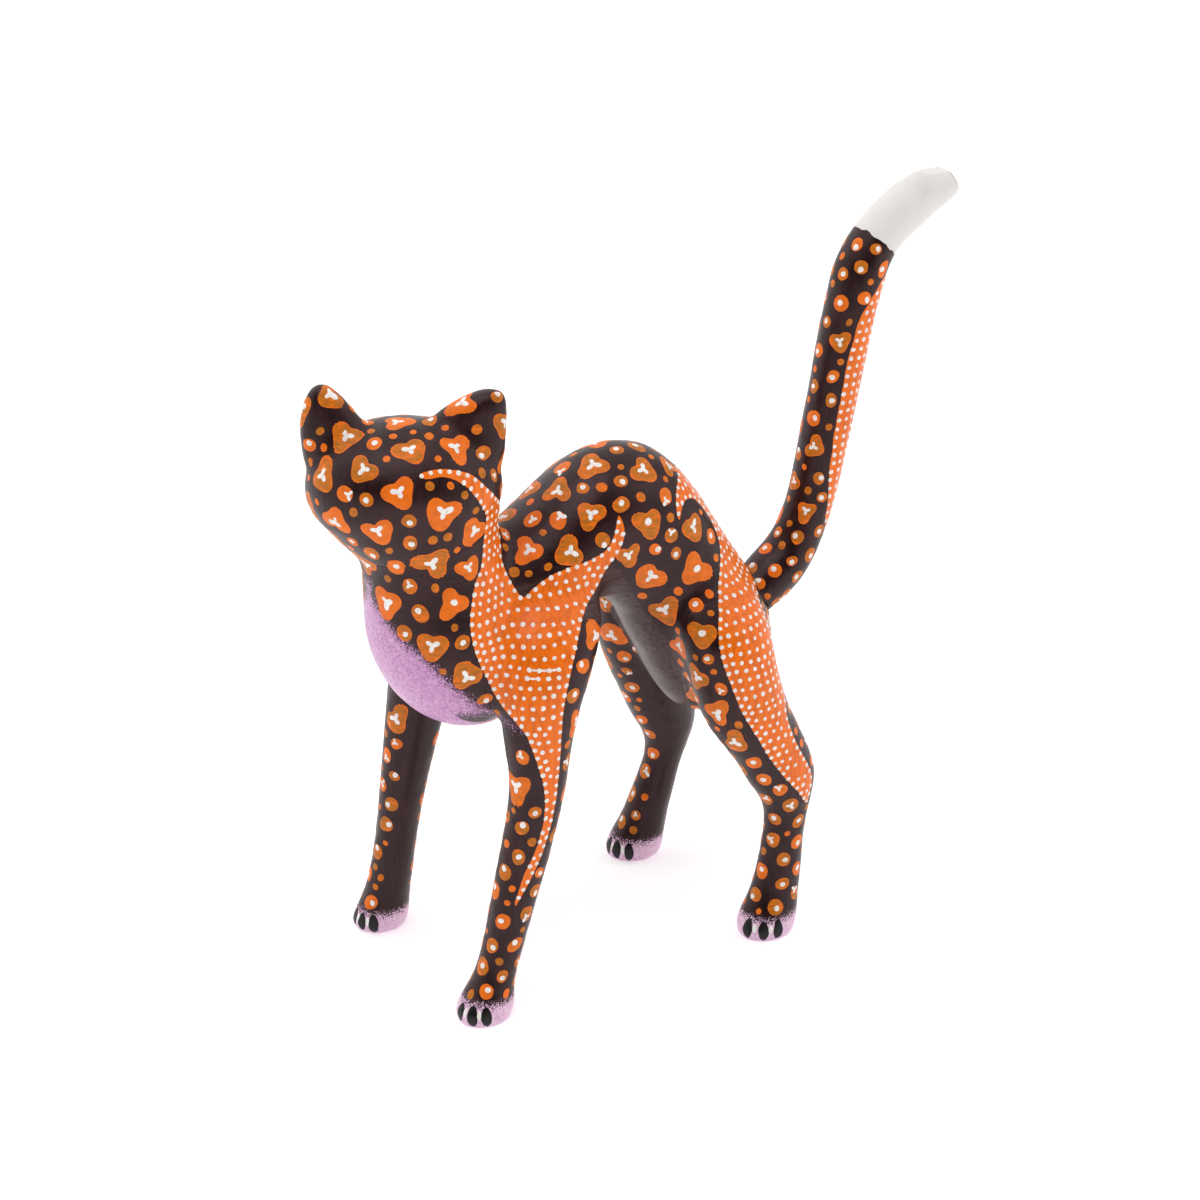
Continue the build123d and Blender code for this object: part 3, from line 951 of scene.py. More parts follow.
def painted_wood(name, grain):
    """Satin paint over carved copal wood. grain: the three scales of its long fibres, 1/m."""
    g = Graph(name)
    plain = g.place((1, 1, 1))
    streak = g.noise(g.place(grain), 1.0, 4.0, 0.6)
    cloud = g.noise(plain, 70.0, 3.0)
    speckle = g.noise(plain, 1500.0, 2.0, 0.6)
    stipple = g.noise(plain, 900.0, 3.0, 0.7)
    ragged = g.noise(plain, 260.0, 3.0)
    spray = g.noise(plain, 2300.0, 2.0, 0.7)

    panel = g.edge("panel", ragged, 0.7)
    tip = g.step(g.edge("tip", ragged, 2.2), -0.05, 0.10)
    seam = g.math("MULTIPLY", g.step(g.attribute("seam"), 0.22, 0.05),
                  g.math("MULTIPLY", g.step(ragged, 0.46, 0.52), 0.8))
    paw_pink = g.mix(g.step(stipple, 0.4, 0.62), PAW_PINK, PAW_DEEP)
    sawn_end = g.mix(g.step(speckle, 0.4, 0.6), BARE_WOOD, BARE_DARK)
    coats = (
        (g.step(g.edge("bib", spray, 15.0), 0.0, 0.5), sponged_lilac(g, stipple, speckle)),
        (g.step(panel, -0.05, 0.09), brushed_orange(g, cloud, panel)),
        (g.step(g.edge("paw", spray, 11.0), 0.0, 0.45), paw_pink),
        (tip, thick_white(g, cloud, speckle)),
        (g.step(g.attribute("sawn"), -0.30, -0.12), sawn_end),
        (seam, SEAM_FILLER))
    colour = dark_ground(g, streak, cloud, ragged)
    for mask, paint in coats:
        colour = g.mix(mask, colour, paint)
    g.put(g.shader.inputs["Base Color"], colour)

    rough = g.math("ADD", g.step(cloud, 0.3, 0.7, 0.30, 0.44), g.math("MULTIPLY", tip, 0.18))
    g.put(g.shader.inputs["Roughness"], rough)
    g.shader.inputs["Specular IOR Level"].default_value = 0.36
    g.shader.inputs["Specular Tint"].default_value = (1.0, 0.72, 0.75, 1.0)
    g.shader.inputs["Coat Weight"].default_value = 0.05
    g.shader.inputs["Coat Roughness"].default_value = 0.2
    relief = g.bump(streak, 0.35, 0.00025)
    g.put(g.shader.inputs["Normal"], g.bump(speckle, 0.22, 0.00008, relief))
    return g.material


def spot_paint():
    """Orange spots: a bright rim, and in some of them an ochre middle brushed unevenly."""
    g = Graph("orange_spot_paint")
    plain = g.place((1, 1, 1))
    brushed = g.noise(g.place((260, 260, 900)), 1.0, 3.0, 0.6)
    cloud = g.noise(plain, 420.0, 3.0, 0.6)
    tint = g.attribute("tint")
    middle = g.step(g.attribute("rim"), 0.90, 0.74)
    uneven = g.step(g.math("ADD", brushed, g.math("MULTIPLY", cloud, 0.6)), 0.55, 0.86)
    amount = g.math("MULTIPLY", g.math("MULTIPLY", middle, tint), uneven)
    colour = g.mix(g.step(cloud, 0.35, 0.7, 0.0, 0.6), ORANGE, ORANGE_DEEP)
    colour = g.mix(amount, colour, OCHRE)
    colour = g.mix(g.math("MULTIPLY", amount, g.step(brushed, 0.5, 0.72, 0.0, 0.6)), colour, OCHRE_DARK)
    g.put(g.shader.inputs["Base Color"], colour)
    g.put(g.shader.inputs["Roughness"], g.step(cloud, 0.3, 0.7, 0.36, 0.5))
    g.shader.inputs["Specular IOR Level"].default_value = 0.25
    g.put(g.shader.inputs["Normal"], g.bump(brushed, 0.3, 0.00012))
    return g.material


def dot_paint(name, light, shade, rough):
    g = Graph(name)
    cloud = g.noise(g.place((1, 1, 1)), 700.0, 3.0, 0.6)
    g.put(g.shader.inputs["Base Color"], g.mix(g.step(cloud, 0.4, 0.75), light, shade))
    g.put(g.shader.inputs["Roughness"], g.step(cloud, 0.3, 0.7, rough, rough + 0.14))
    g.shader.inputs["Specular IOR Level"].default_value = 0.3
    g.put(g.shader.inputs["Normal"], g.bump(cloud, 0.25, 0.0001))
    return g.material


def bare_wood():
    g = Graph("bare_dowel_wood")
    fibres = g.noise(g.place((900, 140, 140)), 1.0, 5.0, 0.6)
    rings = g.noise(g.place((1, 1, 1)), 240.0, 2.0)
    colour = g.mix(g.step(fibres, 0.35, 0.7), BARE_WOOD, BARE_DARK)
    colour = g.mix(g.step(rings, 0.5, 0.8, 0.0, 0.4), colour, BARE_LIGHT)
    g.put(g.shader.inputs["Base Color"], colour)
    g.put(g.shader.inputs["Roughness"], g.step(fibres, 0.3, 0.7, 0.6, 0.8))
    g.put(g.shader.inputs["Normal"], g.bump(fibres, 0.4, 0.0002))
    return g.material


GRAIN_UPRIGHT = (900, 900, 110)
GRAIN_LENGTH = (900, 110, 900)
torso_paint = painted_wood("painted_torso", GRAIN_LENGTH)
limb_paint = painted_wood("painted_limb", GRAIN_UPRIGHT)
orange_paint = spot_paint()
white_paint = dot_paint("white_dot_paint", srgb("#F6F2EE"), srgb("#DDD3CC"), 0.45)
black_paint = dot_paint("black_line_paint", srgb("#0B0808"), srgb("#1C1212"), 0.3)
pink_paint = dot_paint("pink_nose_paint", srgb("#D58FB0"), srgb("#B66C92"), 0.4)
eye_paint = dot_paint("eye_ground_paint", srgb("#F4E9B0"), srgb("#E8C75A"), 0.25)
dowel_wood = bare_wood()


# ---- carving -----------------------------------------------------------------------------------
def carve(nodes, plugs, voxel, face):
    mesh = skin(nodes, plugs, voxel)
    points, edges, quads = arrays(mesh)
    set_points(mesh, smoothed(points, edges, quads))
    mesh = refined(mesh, 1)
    points, _, quads = arrays(mesh)
    points = knife_marks(points, vertex_normals(points, quads))
    if face:
        points = carve_face(points, vertex_normals(points, quads))
    points[:, 2] = np.maximum(points[:, 2], 0.0)
    set_points(mesh, points)
    return mesh


def dowel_plugs():
    """Rods that fill the dowel holes, so that one skin closes over the whole carving."""
    plugs = [(c, a, r + 0.3, l + 2 * HOLE_RELIEF + 0.6) for c, a, r, l in SEAMS.values()]
    return plugs + [(TAIL_ROOT - TAIL_AXIS * 4, TAIL_AXIS, TAIL_DOWEL_R + 0.6, TAIL_DOWEL_LENGTH / 2 + 8)]


def flatten_seat(bm):
    """Lays the rump flat under the tail and opens the middle for the dowel's hole."""
    at, axis = Vector(TAIL_SEAT), Vector(TAIL_AXIS)
    flat = set()
    for v in bm.verts:
        away = v.co / MM - at
        rise = away.dot(axis)
        if -2.5 < rise < 16 and (away - axis * rise).length < SEAT_R:
            v.co -= axis * (rise * MM)
            flat.add(v)
    middle = [f for f in bm.faces if all(v in flat for v in f.verts)
              and (f.calc_center_median() / MM - at).length < TAIL_DOWEL_R + 1.6]
    bmesh.ops.delete(bm, geom=middle, context="FACES")
    bm.faces.ensure_lookup_table()


def glued_hole(node, way):
    """Middle of a seam, its axis into the limb times way, and its hole's radius and depth."""
    centre, axis, radius, length = SEAMS[node]
    return centre, axis * way, radius + GLUE_GAP, length / 2 + HOLE_RELIEF


def holes_of(node):
    """A carved piece's seams, each with the axis out of the wood, hole radius and hole depth."""
    if node == "torso":
        holes = [glued_hole(limb, 1) for limb in SEAMS if not limb.endswith("ear")]
        return holes + [(TAIL_SEAT, TAIL_AXIS, *TAIL_HOLE)]
    holes = [glued_hole(node, -1)]
    if node == "head":
        holes += [glued_hole(ear, 1) for ear in ("left_ear", "right_ear")]
    return holes


def carve_tail():
    """The tail, thicker under the white paint, cut flat at the seat and at the sawn tip."""
    plug = (TAIL_ROOT + TAIL_AXIS * 6, TAIL_AXIS, TAIL_DOWEL_R + 0.6, 18)
    mesh = carve(["tail"], [plug], TAIL_VOXEL, False)
    points, _, quads = arrays(mesh)
    into_tip = tip_distance(points)
    swell = 0.5 * np.clip((into_tip + 6) / 6, 0, 1) + 1.1 * np.clip(into_tip / 12, 0, 1)
    points = points + vertex_normals(points, quads) * swell[:, None]
    set_points(mesh, np.minimum(points, HIGH - 0.03))
    bm = bmesh.new()
    bm.from_mesh(mesh)
    for at, axis in ((TAIL_END, -TAIL_AXIS), (TIP_CUT, TIP_CUT_AXIS)):
        bmesh.ops.bisect_plane(bm, geom=bm.verts[:] + bm.edges[:] + bm.faces[:], dist=1e-7,
                               plane_co=at * MM, plane_no=axis, clear_outer=True)
    cap(bm, TAIL_END, TAIL_AXIS, *TAIL_HOLE)
    open_edges = [e for e in bm.edges if len(e.link_faces) == 1]
    bmesh.ops.triangle_fill(bm, edges=open_edges, use_beauty=True)
    bmesh.ops.recalc_face_normals(bm, faces=bm.faces)
    bm.to_mesh(mesh)
    bm.free()
    return mesh


TAIL_SEAT = TAIL_ROOT - TAIL_AXIS * SEAT_GAP
TAIL_END = TAIL_ROOT + TAIL_AXIS * TAIL_GAP
TAIL_HOLE = (TAIL_DOWEL_R + RUNNING_GAP, TAIL_DOWEL_LENGTH / 2 + HOLE_RELIEF)

carving = cut_seams(carve(CARVED, dowel_plugs(), COARSE_VOXEL, True))
flatten_seat(carving)
surface_points, surface_faces, surface_owner = [], [], []
for island in islands(carving):
    if len(island) <= CRUMB_FACES:
        continue
    node = owner_of(island)
    mesh = piece_mesh(f"{node}_carving", island, holes_of(node))
    for face in island:
        start = len(surface_points)
        surface_points.extend(v.co / MM for v in face.verts)
        surface_faces.append(list(range(start, len(surface_points))))
        surface_owner.append(node)
    paint_regions(mesh, node)
    new_piece(f"{node}_carving", mesh, torso_paint if node == "torso" else limb_paint,
              "carving", "painted_wood", node)
carving.free()
body_surface = BVHTree.FromPolygons(surface_points, surface_faces)

tail_mesh = carve_tail()
tail_points = [v.co / MM for v in tail_mesh.vertices]
tail_surface = BVHTree.FromPolygons(tail_points, [list(p.vertices) for p in tail_mesh.polygons])
paint_regions(tail_mesh, "tail")
new_piece("tail_carving", tail_mesh, limb_paint, "tail", "painted_wood", "tail")

for node in frame["nodes"]:
    if node.endswith("dowel") or node.endswith("peg"):
        mesh = frame["nodes"][node].data
        mesh.materials.clear()
        mesh.materials.append(dowel_wood)


# ---- laying out the spots ----------------------------------------------------------------------
def sample_surface(points, faces, count):
    """Random points on a mesh with their normals and face numbers, spread by area."""
    p = np.array([q[:] for q in points], float)
    tri, owner = [], []
    for k, f in enumerate(faces):
        tri.append((f[0], f[1], f[2]))
        owner.append(k)
        if len(f) == 4:
            tri.append((f[0], f[2], f[3]))
            owner.append(k)
    tri = np.array(tri)
    a, b, c = p[tri[:, 0]], p[tri[:, 1]], p[tri[:, 2]]
    cross = np.cross(b - a, c - a)
    area = np.linalg.norm(cross, axis=1)
    pick = rng.choice(len(tri), count, p=area / area.sum())
    u, v = rng.random((2, count))
    flip = u + v > 1
    u, v = np.where(flip, 1 - u, u)[:, None], np.where(flip, 1 - v, v)[:, None]
    spots = a[pick] + u * (b - a)[pick] + v * (c - a)[pick]
    return spots, cross[pick] / np.maximum(area[pick, None], 1e-12), np.array(owner)[pick]


class Layout:
    """Spots already placed, so that a new one keeps its distance."""

    def __init__(self):
        self.at = np.zeros((0, 3))
        self.normal = np.zeros((0, 3))
        self.radius = np.zeros(0)

    def free(self, point, normal, radius, gap):
        if not len(self.at):
            return True
        near = np.linalg.norm(self.at - point, axis=1) < self.radius + radius + gap
        return not (near & (self.normal @ normal > -0.1)).any()

    def take(self, point, normal, radius):
        self.at = np.vstack([self.at, point])
        self.normal = np.vstack([self.normal, normal])
        self.radius = np.append(self.radius, radius)


def face_distance(points):
    """Distance in mm from the face's painted parts, so that spots keep off them."""
    forward, out, up = in_head(points)
    eye = np.minimum(np.linalg.norm(points - head_point(*EYE), axis=1),
                     np.linalg.norm(points - head_point(EYE[0], -EYE[1], EYE[2]), axis=1)) - 7.5
    muzzle = np.linalg.norm(points - head_point(27.0, 0, -6.5), axis=1) - 11.5
    return np.minimum(eye, muzzle)


def plain_inside(points, normals):
    """Positive where a leg's skin faces the other side of the cat."""
    inward = -np.sign(points[:, 0]) * normals[:, 0]
    return np.where((points[:, 2] < 88) & (inward > 0.7), 9.0, -9.0)


def body_room(points, normals):
    """How far each point is from anything that spots keep off, in mm."""
    room = np.minimum(-panel_distance(points), face_distance(points))
    room = np.minimum(room, points[:, 2] - PAW_TOP)
    room = np.minimum(room, -plain_inside(points, normals))
    front = points[:, 1] < LOW[1] + 0.22 * SIDE_SIZE[0]
    low = points[:, 2] > 62
    room = np.minimum(room, np.where(front & low, -bib_distance(points) + 0.5, 9.0))
    return np.minimum(room, -inner_ear_distance(points))


def lay_spots(points, normals, room, sizes, layout):
    """Places spots at random where there is room. Returns (point number, radius) of each."""
    taken = []
    for radius, gap, limit in sizes:
        placed = 0
        for k in np.flatnonzero(room > 0.66 * radius + 0.5):
            if placed >= limit:
                break
            r = radius * rng.uniform(0.88, 1.12)
            if room[k] < 0.74 * r + 0.5:
                continue
            if layout.free(points[k], normals[k], r, gap):
                layout.take(points[k], normals[k], r)
                taken.append((k, r))
                placed += 1
    return taken


orange_dabs = {}
white_dabs = {}
black_dabs = {}


def dabs_for(store, node):
    return store.setdefault(node, Dabs())


def paint_spot(surface, node, point, normal, radius, kind):
    """One orange spot with the white mark that its size carries."""
    turn = rng.normal() * 0.6 + (math.pi if rng.random() < 0.25 else 0)
    lean = UP + rng.normal(size=3) * 0.01
    side = np.cross(lean, unit(normal))
    up = lean * math.cos(turn) + side * math.sin(turn)
    if abs(unit(normal)[2]) > 0.9:
        up = np.array([math.sin(turn), -math.cos(turn), 0.0])
    tint = float(np.clip(rng.choice([0.2, 1.0], p=[0.36, 0.64]) + rng.normal() * 0.1, 0, 1))
    orange = dabs_for(orange_dabs, node)
    white = dabs_for(white_dabs, node)
    if kind == "heart":
        orange.add(surface, point, normal, up, heart_outline(radius * 1.12), 0.10, rings=4, tint=tint)
        mark = trefoil_outline(radius * 0.52) if rng.random() < 0.85 else round_outline(radius * 0.28, 12)
        white.add(surface, point + up * 0.08 * radius, normal, up, mark, 0.13, base=0.09, rings=2)
    elif kind == "round":
        orange.add(surface, point, normal, up, round_outline(radius, 20), 0.09, rings=3, tint=tint)
        lobed = rng.random() < 0.25
        mark = trefoil_outline(radius * 0.55) if lobed else round_outline(0.85 + 0.1 * radius, 12)
        offset = rng.normal(size=3) * 0.18 * radius
        offset -= unit(normal) * (offset @ unit(normal))
        white.add(surface, point + offset, normal, up, mark, 0.12, base=0.08, rings=2)
    else:
        orange.add(surface, point, normal, up, round_outline(radius, 14), 0.08, rings=2, tint=tint)


# Kinds of spot, larger ones first, each with its (radius, gap to its neighbours, greatest number).
BODY_SPOTS = (("heart", [(5.1, 2.2, 400), (4.4, 1.6, 400)]),
              ("round", [(3.1, 0.8, 400), (2.5, 0.6, 700)]),
              ("small", [(1.9, 0.5, 900), (1.45, 0.5, 900)]))
TAIL_SPOTS = (("heart", [(3.6, 2.0, 9)]),
              ("round", [(2.8, 1.3, 200), (2.2, 1.0, 200)]),
              ("small", [(1.5, 0.9, 200)]))
BODY_TRIES, TAIL_TRIES = 42000, 9000     # random places tried
THIN_LEG_TOP = 70.0                      # mm, below this a leg carries smaller hearts


def body_spots():
    points, normals, numbers = sample_surface(surface_points, surface_faces, BODY_TRIES)
    owners = np.array([surface_owner[k] for k in numbers])
    room = body_room(points, normals)
    room = np.where(owners == "torso", np.minimum(room, 0.3 - belly_distance(points)), room)
    thin = np.char.endswith(owners, "leg") & (points[:, 2] < THIN_LEG_TOP)
    layout = Layout()
    for kind, sizes in BODY_SPOTS:
        space = np.where(thin, np.minimum(room, 2.0), room) if kind == "heart" else room
        for k, radius in lay_spots(points, normals, space, sizes, layout):
            paint_spot(body_surface, str(owners[k]), points[k], normals[k], radius, kind)


def tail_spots():
    faces = [list(p.vertices) for p in tail_mesh.polygons if len(p.vertices) == 4]
    points, normals, _ = sample_surface(tail_points, faces, TAIL_TRIES)
    room = np.minimum(-tail_stripe_distance(points), -tip_distance(points) - 0.5)
    room = np.minimum(np.minimum(room, 9.0), (points - TAIL_ROOT) @ TAIL_AXIS)
    layout = Layout()
    for kind, sizes in TAIL_SPOTS:
        for k, radius in lay_spots(points, normals, room, sizes, layout):
            paint_spot(tail_surface, "tail", points[k], normals[k], radius, kind)


body_spots()
tail_spots()


# ---- rows of white dots on the orange panels ---------------------------------------------------
DOT_PITCH = 2.75
DOT_R = 0.80


def white_dot(surface, node, point, normal):
    outline = round_outline(DOT_R * rng.uniform(0.86, 1.12), 12, rng.uniform(0.85, 1.0))
    dabs_for(white_dabs, node).add(surface, point, normal, np.array([0.1, 0.2, 1.0]), outline, 0.2, rings=2)


def nearest(point):
    """The closest place on the body's skin, its normal and the piece that it lies on."""
    at, normal, number, _ = body_surface.find_nearest(Vector(point))
    return np.array(at), np.array(normal), surface_owner[number]


def loop_on_body(loop, side, lead, inset):
    """The loop, moved in by inset, carried onto one flank as 3-D points and normals."""
    along = np.roll(loop, -1, 0) - np.roll(loop, 1, 0)
    normal = np.stack([-along[:, 1], along[:, 0]], 1)
    normal /= np.maximum(np.linalg.norm(normal, axis=1, keepdims=True), 1e-9)
    if np.median(signed_distance(loop + normal * 0.3, loop)) < 0:
        normal = -normal
    inner = loop + normal * inset
    return flank_hits(inner, signed_distance(inner, loop) > 0.6 * inset, side, lead)


def flank_hits(places, wanted, side, lead):
    """Where level rays from one side meet the body at side-view places; None where not wanted."""
    out = []
    for (y, z), use in zip(places, wanted):
        if side < 0:
            y = y + lead_at(z, lead)
        hit = body_surface.ray_cast(Vector((side * 60.0, y, z)), Vector((-side, 0, 0))) if use else (None,)
        out.append(hit if hit[0] is not None and hit[0].x * side > 0 else None)
    return out


def dot_line(hits, pitch, layout):
    """Dots at an even pitch along a run of surface points, where they lie on a panel."""
    last, travelled = None, pitch
    for hit in hits:
        if hit is None:
            last, travelled = None, pitch
            continue
        at, normal, number, _ = hit
        at, normal = np.array(at), np.array(normal)
        if last is not None:
            travelled += np.linalg.norm(at - last)
        last = at
        if travelled >= pitch and panel_distance(at[None])[0] > 0.2 and layout.free(at, normal, 0.9, 0.4):
            travelled = 0.0
            layout.take(at, normal, 0.9)
            white_dot(body_surface, surface_owner[number], at, normal)


def panel_dots(loop, side, lead):
    """Dots along a panel's border and in level rows inside it."""
    layout = Layout()
    fine = np.concatenate([np.linspace(a, b, 6, endpoint=False)
                           for a, b in zip(loop, np.roll(loop, -1, 0))])
    dot_line(loop_on_body(fine, side, lead, 0.55), DOT_PITCH * 0.97, layout)
    low, high = loop.min(0), loop.max(0)
    for row, z in enumerate(np.arange(low[1] + 2.0, high[1], DOT_PITCH)):
        y = np.arange(low[0], high[0], 0.3)
        places = np.stack([y, z + rng.normal() * 0.01 * (y - low[0]) + 0.25 * np.sin(0.19 * y + row)], 1)
        hits = flank_hits(places, signed_distance(places, loop) > 1.5, side, lead)
        dot_line(hits, DOT_PITCH * rng.uniform(0.96, 1.06), layout)
    return layout


def join_dots(layout, height, first, last):
    """Short strokes between neighbouring dots of the row nearest a height."""
    inner = np.flatnonzero(panel_distance(layout.at) > 3)
    height = layout.at[inner[np.argmin(np.abs(layout.at[inner, 2] - height))], 2]
    row = inner[np.abs(layout.at[inner, 2] - height) < 0.9]
    row = row[np.argsort(layout.at[row, 1])][first:last + 1]
    for a, b in zip(row, row[1:]):
        start, end = layout.at[a], layout.at[b]
        gap = np.linalg.norm(end - start)
        if gap < 1.9 * DOT_PITCH:
            at, normal, node = nearest((start + end) / 2)
            stroke = almond(0.42, gap / 2, 16)
            dabs_for(white_dabs, node).add(body_surface, at, normal, end - start, stroke, 0.16, rings=2)


def tail_dots():
    """Columns of dots down the stripe on the tail's back."""
    layout = Layout()
    z = LOW[2] + STRIPE_Z[0] * SIDE_SIZE[1] + 3
    while z < LOW[2] + STRIPE_Z[-1] * SIDE_SIZE[1] - 1:
        middle = tail_middle(z)
        half = stripe_half(z) - 6
        count = max(1, int(round(2 * half * TAIL_R * math.pi / 180 / DOT_PITCH)) + 1)
        for angle in (np.linspace(-half, half, count) if count > 1 else [0.0]):
            turn = math.radians(angle + rng.normal() * 1.2)
            way = Vector((math.sin(turn), math.cos(turn), -0.12 + rng.normal() * 0.01)).normalized()
            hit = tail_surface.ray_cast(Vector((0, middle, z)) + way * 30, -way)
            if hit[0] is None:
                continue
            at, normal = np.array(hit[0]), np.array(hit[1])
            if tip_distance(at[None])[0] < -1.4 and layout.free(at, normal, 0.8, 0.45):
                layout.take(at, normal, 0.8)
                white_dot(tail_surface, "tail", at, normal)
        z += DOT_PITCH


for side in (1, -1):
    shoulder_dots = panel_dots(SHOULDER_LOOP, side, FRONT_LEAD)
    if side > 0:
        join_dots(shoulder_dots, LOW[2] + 0.488 * SIDE_SIZE[1], 3, 6)
        join_dots(shoulder_dots, LOW[2] + 0.472 * SIDE_SIZE[1], 2, 3)
    panel_dots(THIGH_LOOP, side, HIND_LEAD)
tail_dots()


# ---- claws -------------------------------------------------------------------------------------
CLAW_TURNS = {"front_left_leg": (4, 36, 67), "front_right_leg": (-6, 21, 49),
              "hind_left_leg": (18, 52, 85), "hind_right_leg": (-6, 20, 49)}


def claw_outline(count=20):
    angles = np.arange(count) * 2 * math.pi / count
    shape = 4.9 / np.sqrt((np.cos(angles) / 0.42) ** 2 + np.sin(angles) ** 2)
    return shape * (1 - 0.16 * np.maximum(np.sin(angles), 0)) * wobble(count, 0.04)


def paw_hit(middle, degrees, height):
    """Where a level ray from outside meets a paw, at an angle from straight ahead."""
    turn = math.radians(degrees)
    way = Vector((math.sin(turn), -math.cos(turn), 0))
    at, normal, _, _ = body_surface.ray_cast(Vector((middle[0], middle[1], height)) + way * 30, -way)
    return (np.array(at), np.array(normal)) if at is not None else None


def paint_claws(node, turns):
    """Black claws round the front of a paw, with white between them."""
    points = node_points(node)
    foot = points[points[:, 2] < 6]
    middle = (foot.min(0) + foot.max(0)) / 2
    black, white = dabs_for(black_dabs, node), dabs_for(white_dabs, node)
    for angle in turns:
        claw = paw_hit(middle, angle, 4.0)
        if claw:
            black.add(body_surface, *claw, UP, claw_outline() * rng.uniform(0.9, 1.05), 0.12, rings=4)
        between = paw_hit(middle, angle + 15, 4.6)
        if between and angle != turns[-1]:
            white.add(body_surface, *between, UP, claw_outline() * 0.42, 0.08, rings=3)


for node, turns in CLAW_TURNS.items():
    paint_claws(node, turns)


# ---- face paint --------------------------------------------------------------------------------
def face_hit(forward, out, up):
    return nearest(head_point(forward, out, up))[:2]


def paint_eye(side, black, ground, white):
    at, normal = face_hit(EYE[0] + 2, side * EYE[1], EYE[2])
    tilt = UP - HEAD_LEFT * side * 0.22
    black.add(body_surface, at, normal, tilt, almond(5.4, 3.9), 0.10, rings=4)
    ground.add(body_surface, at, normal, tilt, almond(4.5, 3.1), 0.12, base=0.08, rings=4)
    black.add(body_surface, at, normal, UP, almond(1.35, 2.75, 20), 0.12, base=0.18, rings=3)
    glint = at + UP * 1.0 - HEAD_LEFT * 0.5
    white.add(body_surface, glint, normal, UP, round_outline(0.55, 12, 0.95), 0.08, base=0.30, rings=2)


def paint_mouth_side(side, black, white):
    """Half of the mouth's line, and the white dots of the whisker pads."""
    curve = mouth_curve(side)
    for a, b in zip(curve, curve[1:]):
        for t in (0.0, 0.5):
            at, normal, _ = nearest(a + (b - a) * t)
            black.add(body_surface, at, normal, b - a, almond(0.55, 1.1, 12), 0.05, rings=2)
    for out, up in ((7.4, -4.2), (9.0, -6.4), (6.4, -7.4), (10.2, -3.2)):
        at, normal = face_hit(25.0, side * out, up)
        white.add(body_surface, at, normal, UP, round_outline(0.5, 10, 0.95), 0.1, rings=2)


eye_dabs, nose_dabs = Dabs(), Dabs()
face_black, face_white = dabs_for(black_dabs, "head"), dabs_for(white_dabs, "head")
for side in (1, -1):
    paint_eye(side, face_black, eye_dabs, face_white)
    paint_mouth_side(side, face_black, face_white)
nose_dabs.add(body_surface, *face_hit(*NOSE), UP, heart_outline(2.9, 24), 0.16, rings=4)
for t in np.linspace(0, 1, 5):
    lip = face_hit(*(np.array(MOUTH_TOP) * (1 - t) + np.array(MOUTH_LOW) * t))
    face_black.add(body_surface, *lip, UP, almond(0.5, 0.9, 12), 0.05, rings=2)

for store, label, material in ((orange_dabs, "orange_spots", orange_paint),
                               (white_dabs, "white_dots", white_paint),
                               (black_dabs, "black_marks", black_paint)):
    for node, dabs in store.items():
        if dabs.points:
            new_piece(f"{node}_{label}", dabs.mesh(f"{node}_{label}"), material,
                      "tail" if node == "tail" else "carving", "painted_wood")
new_piece("eye_grounds", eye_dabs.mesh("eye_grounds"), eye_paint, "carving", "painted_wood")
new_piece("nose", nose_dabs.mesh("nose"), pink_paint, "carving", "painted_wood")


# ---- floor, light and camera -------------------------------------------------------------------
def studio():
    mesh = bpy.data.meshes.new("floor")
    half = 30.0
    corners = [(-half, -half, 0), (half, -half, 0), (half, half, 0), (-half, half, 0)]
    mesh.from_pydata(corners, [], [(0, 1, 2, 3)])
    g = Graph("pale_floor")
    g.shader.inputs["Base Color"].default_value = (0.93, 0.93, 0.93, 1)
    g.shader.inputs["Emission Color"].default_value = (1, 1, 1, 1)
    g.shader.inputs["Emission Strength"].default_value = 0.32
    g.shader.inputs["Roughness"].default_value = 0.7
    g.shader.inputs["Specular IOR Level"].default_value = 0.1
    mesh.materials.append(g.material)
    floor = bpy.data.objects.new("floor", mesh)
    bpy.context.scene.collection.objects.link(floor)


CAMERA_AZIMUTH = 61.6            # degrees from straight ahead of the cat, towards its left
CAMERA_ELEVATION = 25.0
CAMERA_DISTANCE = 0.700          # m
CAMERA_LENS = 69.93              # mm
AIM_OFFSET = (0.24, -15.97, -2.45)   # mm from the middle of the figure's box
# Name, azimuth, elevation, distance in m and power in W of each soft square lamp.
LAMPS = (("key", 40, 62, 1.2, 5.0), ("left_fill", -60, 40, 1.3, 1.6), ("right_fill", 140, 40, 1.3, 1.6))
LAMP_SIZE = 0.9                  # m


def direction(azimuth, elevation):
    a, e = math.radians(azimuth), math.radians(elevation)
    return Vector((math.sin(a) * math.cos(e), -math.cos(a) * math.cos(e), math.sin(e)))


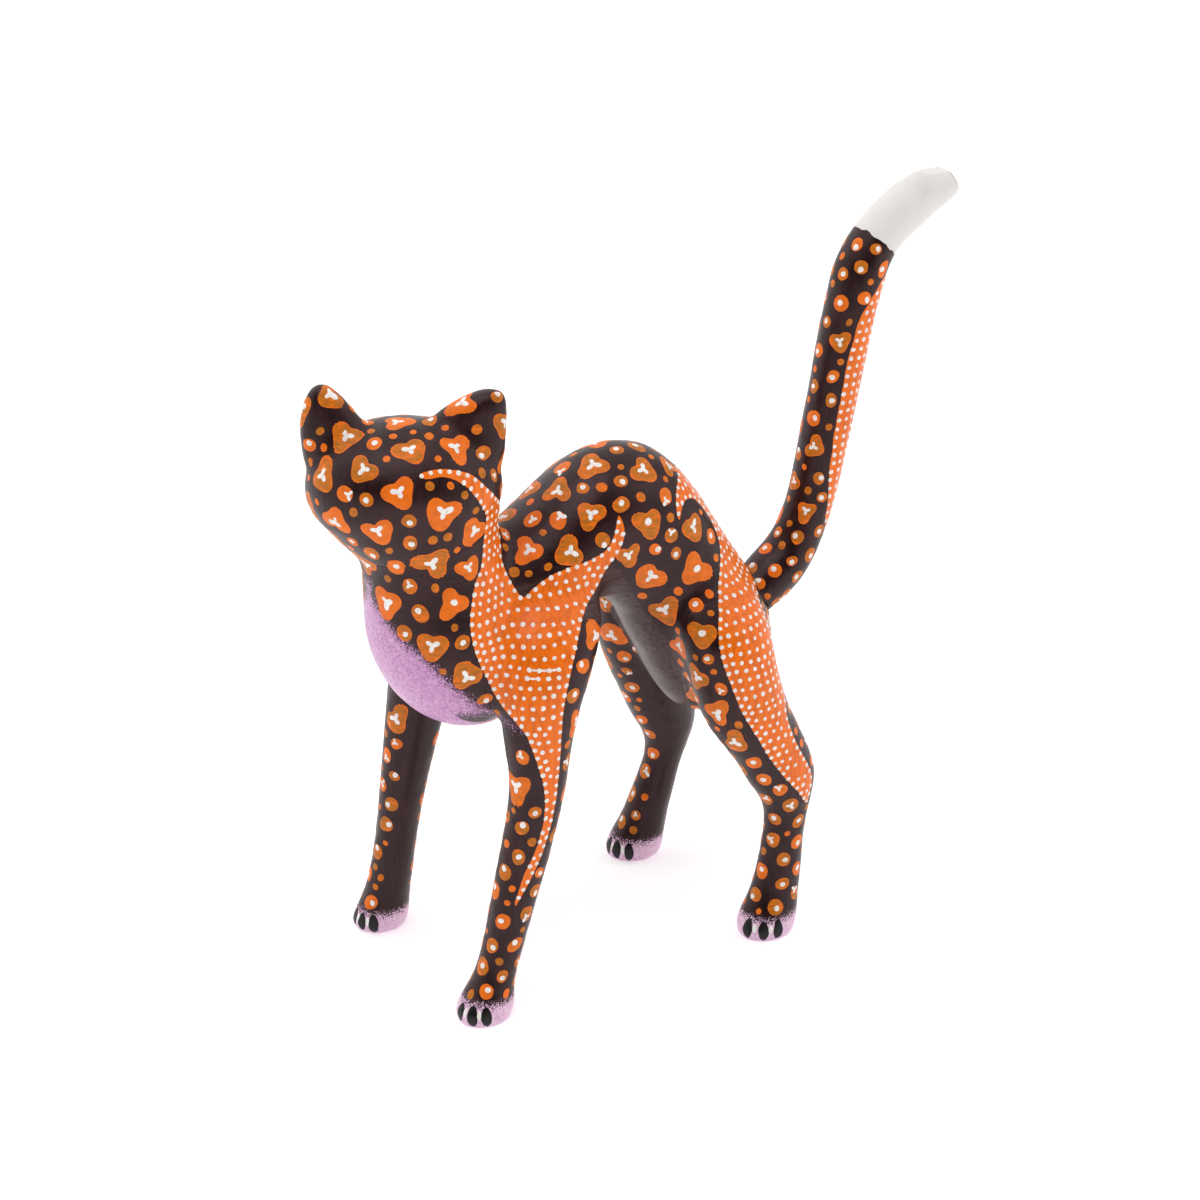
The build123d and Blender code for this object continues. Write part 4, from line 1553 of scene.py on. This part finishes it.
def world():
    """White surroundings, darker behind the camera, where the room is."""
    w = bpy.data.worlds.new("studio")
    bpy.context.scene.world = w
    w.use_nodes = True
    nodes, links = w.node_tree.nodes, w.node_tree.links
    background = nodes["Background"]
    coordinates = nodes.new("ShaderNodeTexCoord")
    dot = nodes.new("ShaderNodeVectorMath")
    dot.operation = "DOT_PRODUCT"
    dot.inputs[1].default_value = direction(CAMERA_AZIMUTH, 12)
    links.new(coordinates.outputs["Generated"], dot.inputs[0])
    ramp = nodes.new("ShaderNodeMapRange")
    ramp.interpolation_type = "SMOOTHSTEP"
    links.new(dot.outputs["Value"], ramp.inputs["Value"])
    for name, number in (("From Min", 0.20), ("From Max", 0.86), ("To Min", 1.05), ("To Max", 0.07)):
        ramp.inputs[name].default_value = number
    seen = nodes.new("ShaderNodeLightPath")
    level = nodes.new("ShaderNodeMath")
    level.operation = "MAXIMUM"
    links.new(ramp.outputs["Result"], level.inputs[0])
    links.new(seen.outputs["Is Camera Ray"], level.inputs[1])
    links.new(level.outputs[0], background.inputs["Strength"])
    background.inputs["Color"].default_value = (1, 1, 1, 1)


def area_light(name, azimuth, elevation, distance, power, aim):
    data = bpy.data.lights.new(name, "AREA")
    data.size = LAMP_SIZE
    data.energy = power
    lamp = bpy.data.objects.new(name, data)
    lamp.location = aim + direction(azimuth, elevation) * distance
    lamp.rotation_euler = direction(azimuth, elevation).to_track_quat("Z", "Y").to_euler()
    bpy.context.scene.collection.objects.link(lamp)


def camera(aim):
    data = bpy.data.cameras.new("camera")
    data.lens = CAMERA_LENS
    view = bpy.data.objects.new("camera", data)
    view.location = aim + direction(CAMERA_AZIMUTH, CAMERA_ELEVATION) * CAMERA_DISTANCE
    view.rotation_euler = direction(CAMERA_AZIMUTH, CAMERA_ELEVATION).to_track_quat("Z", "Y").to_euler()
    bpy.context.scene.collection.objects.link(view)
    bpy.context.scene.camera = view


aim = Vector((((LOW + HIGH) / 2 + AIM_OFFSET) * MM).tolist())
studio()
world()
for lamp in LAMPS:
    area_light(*lamp, aim)
camera(aim)
bpy.context.scene.view_settings.view_transform = "Standard"
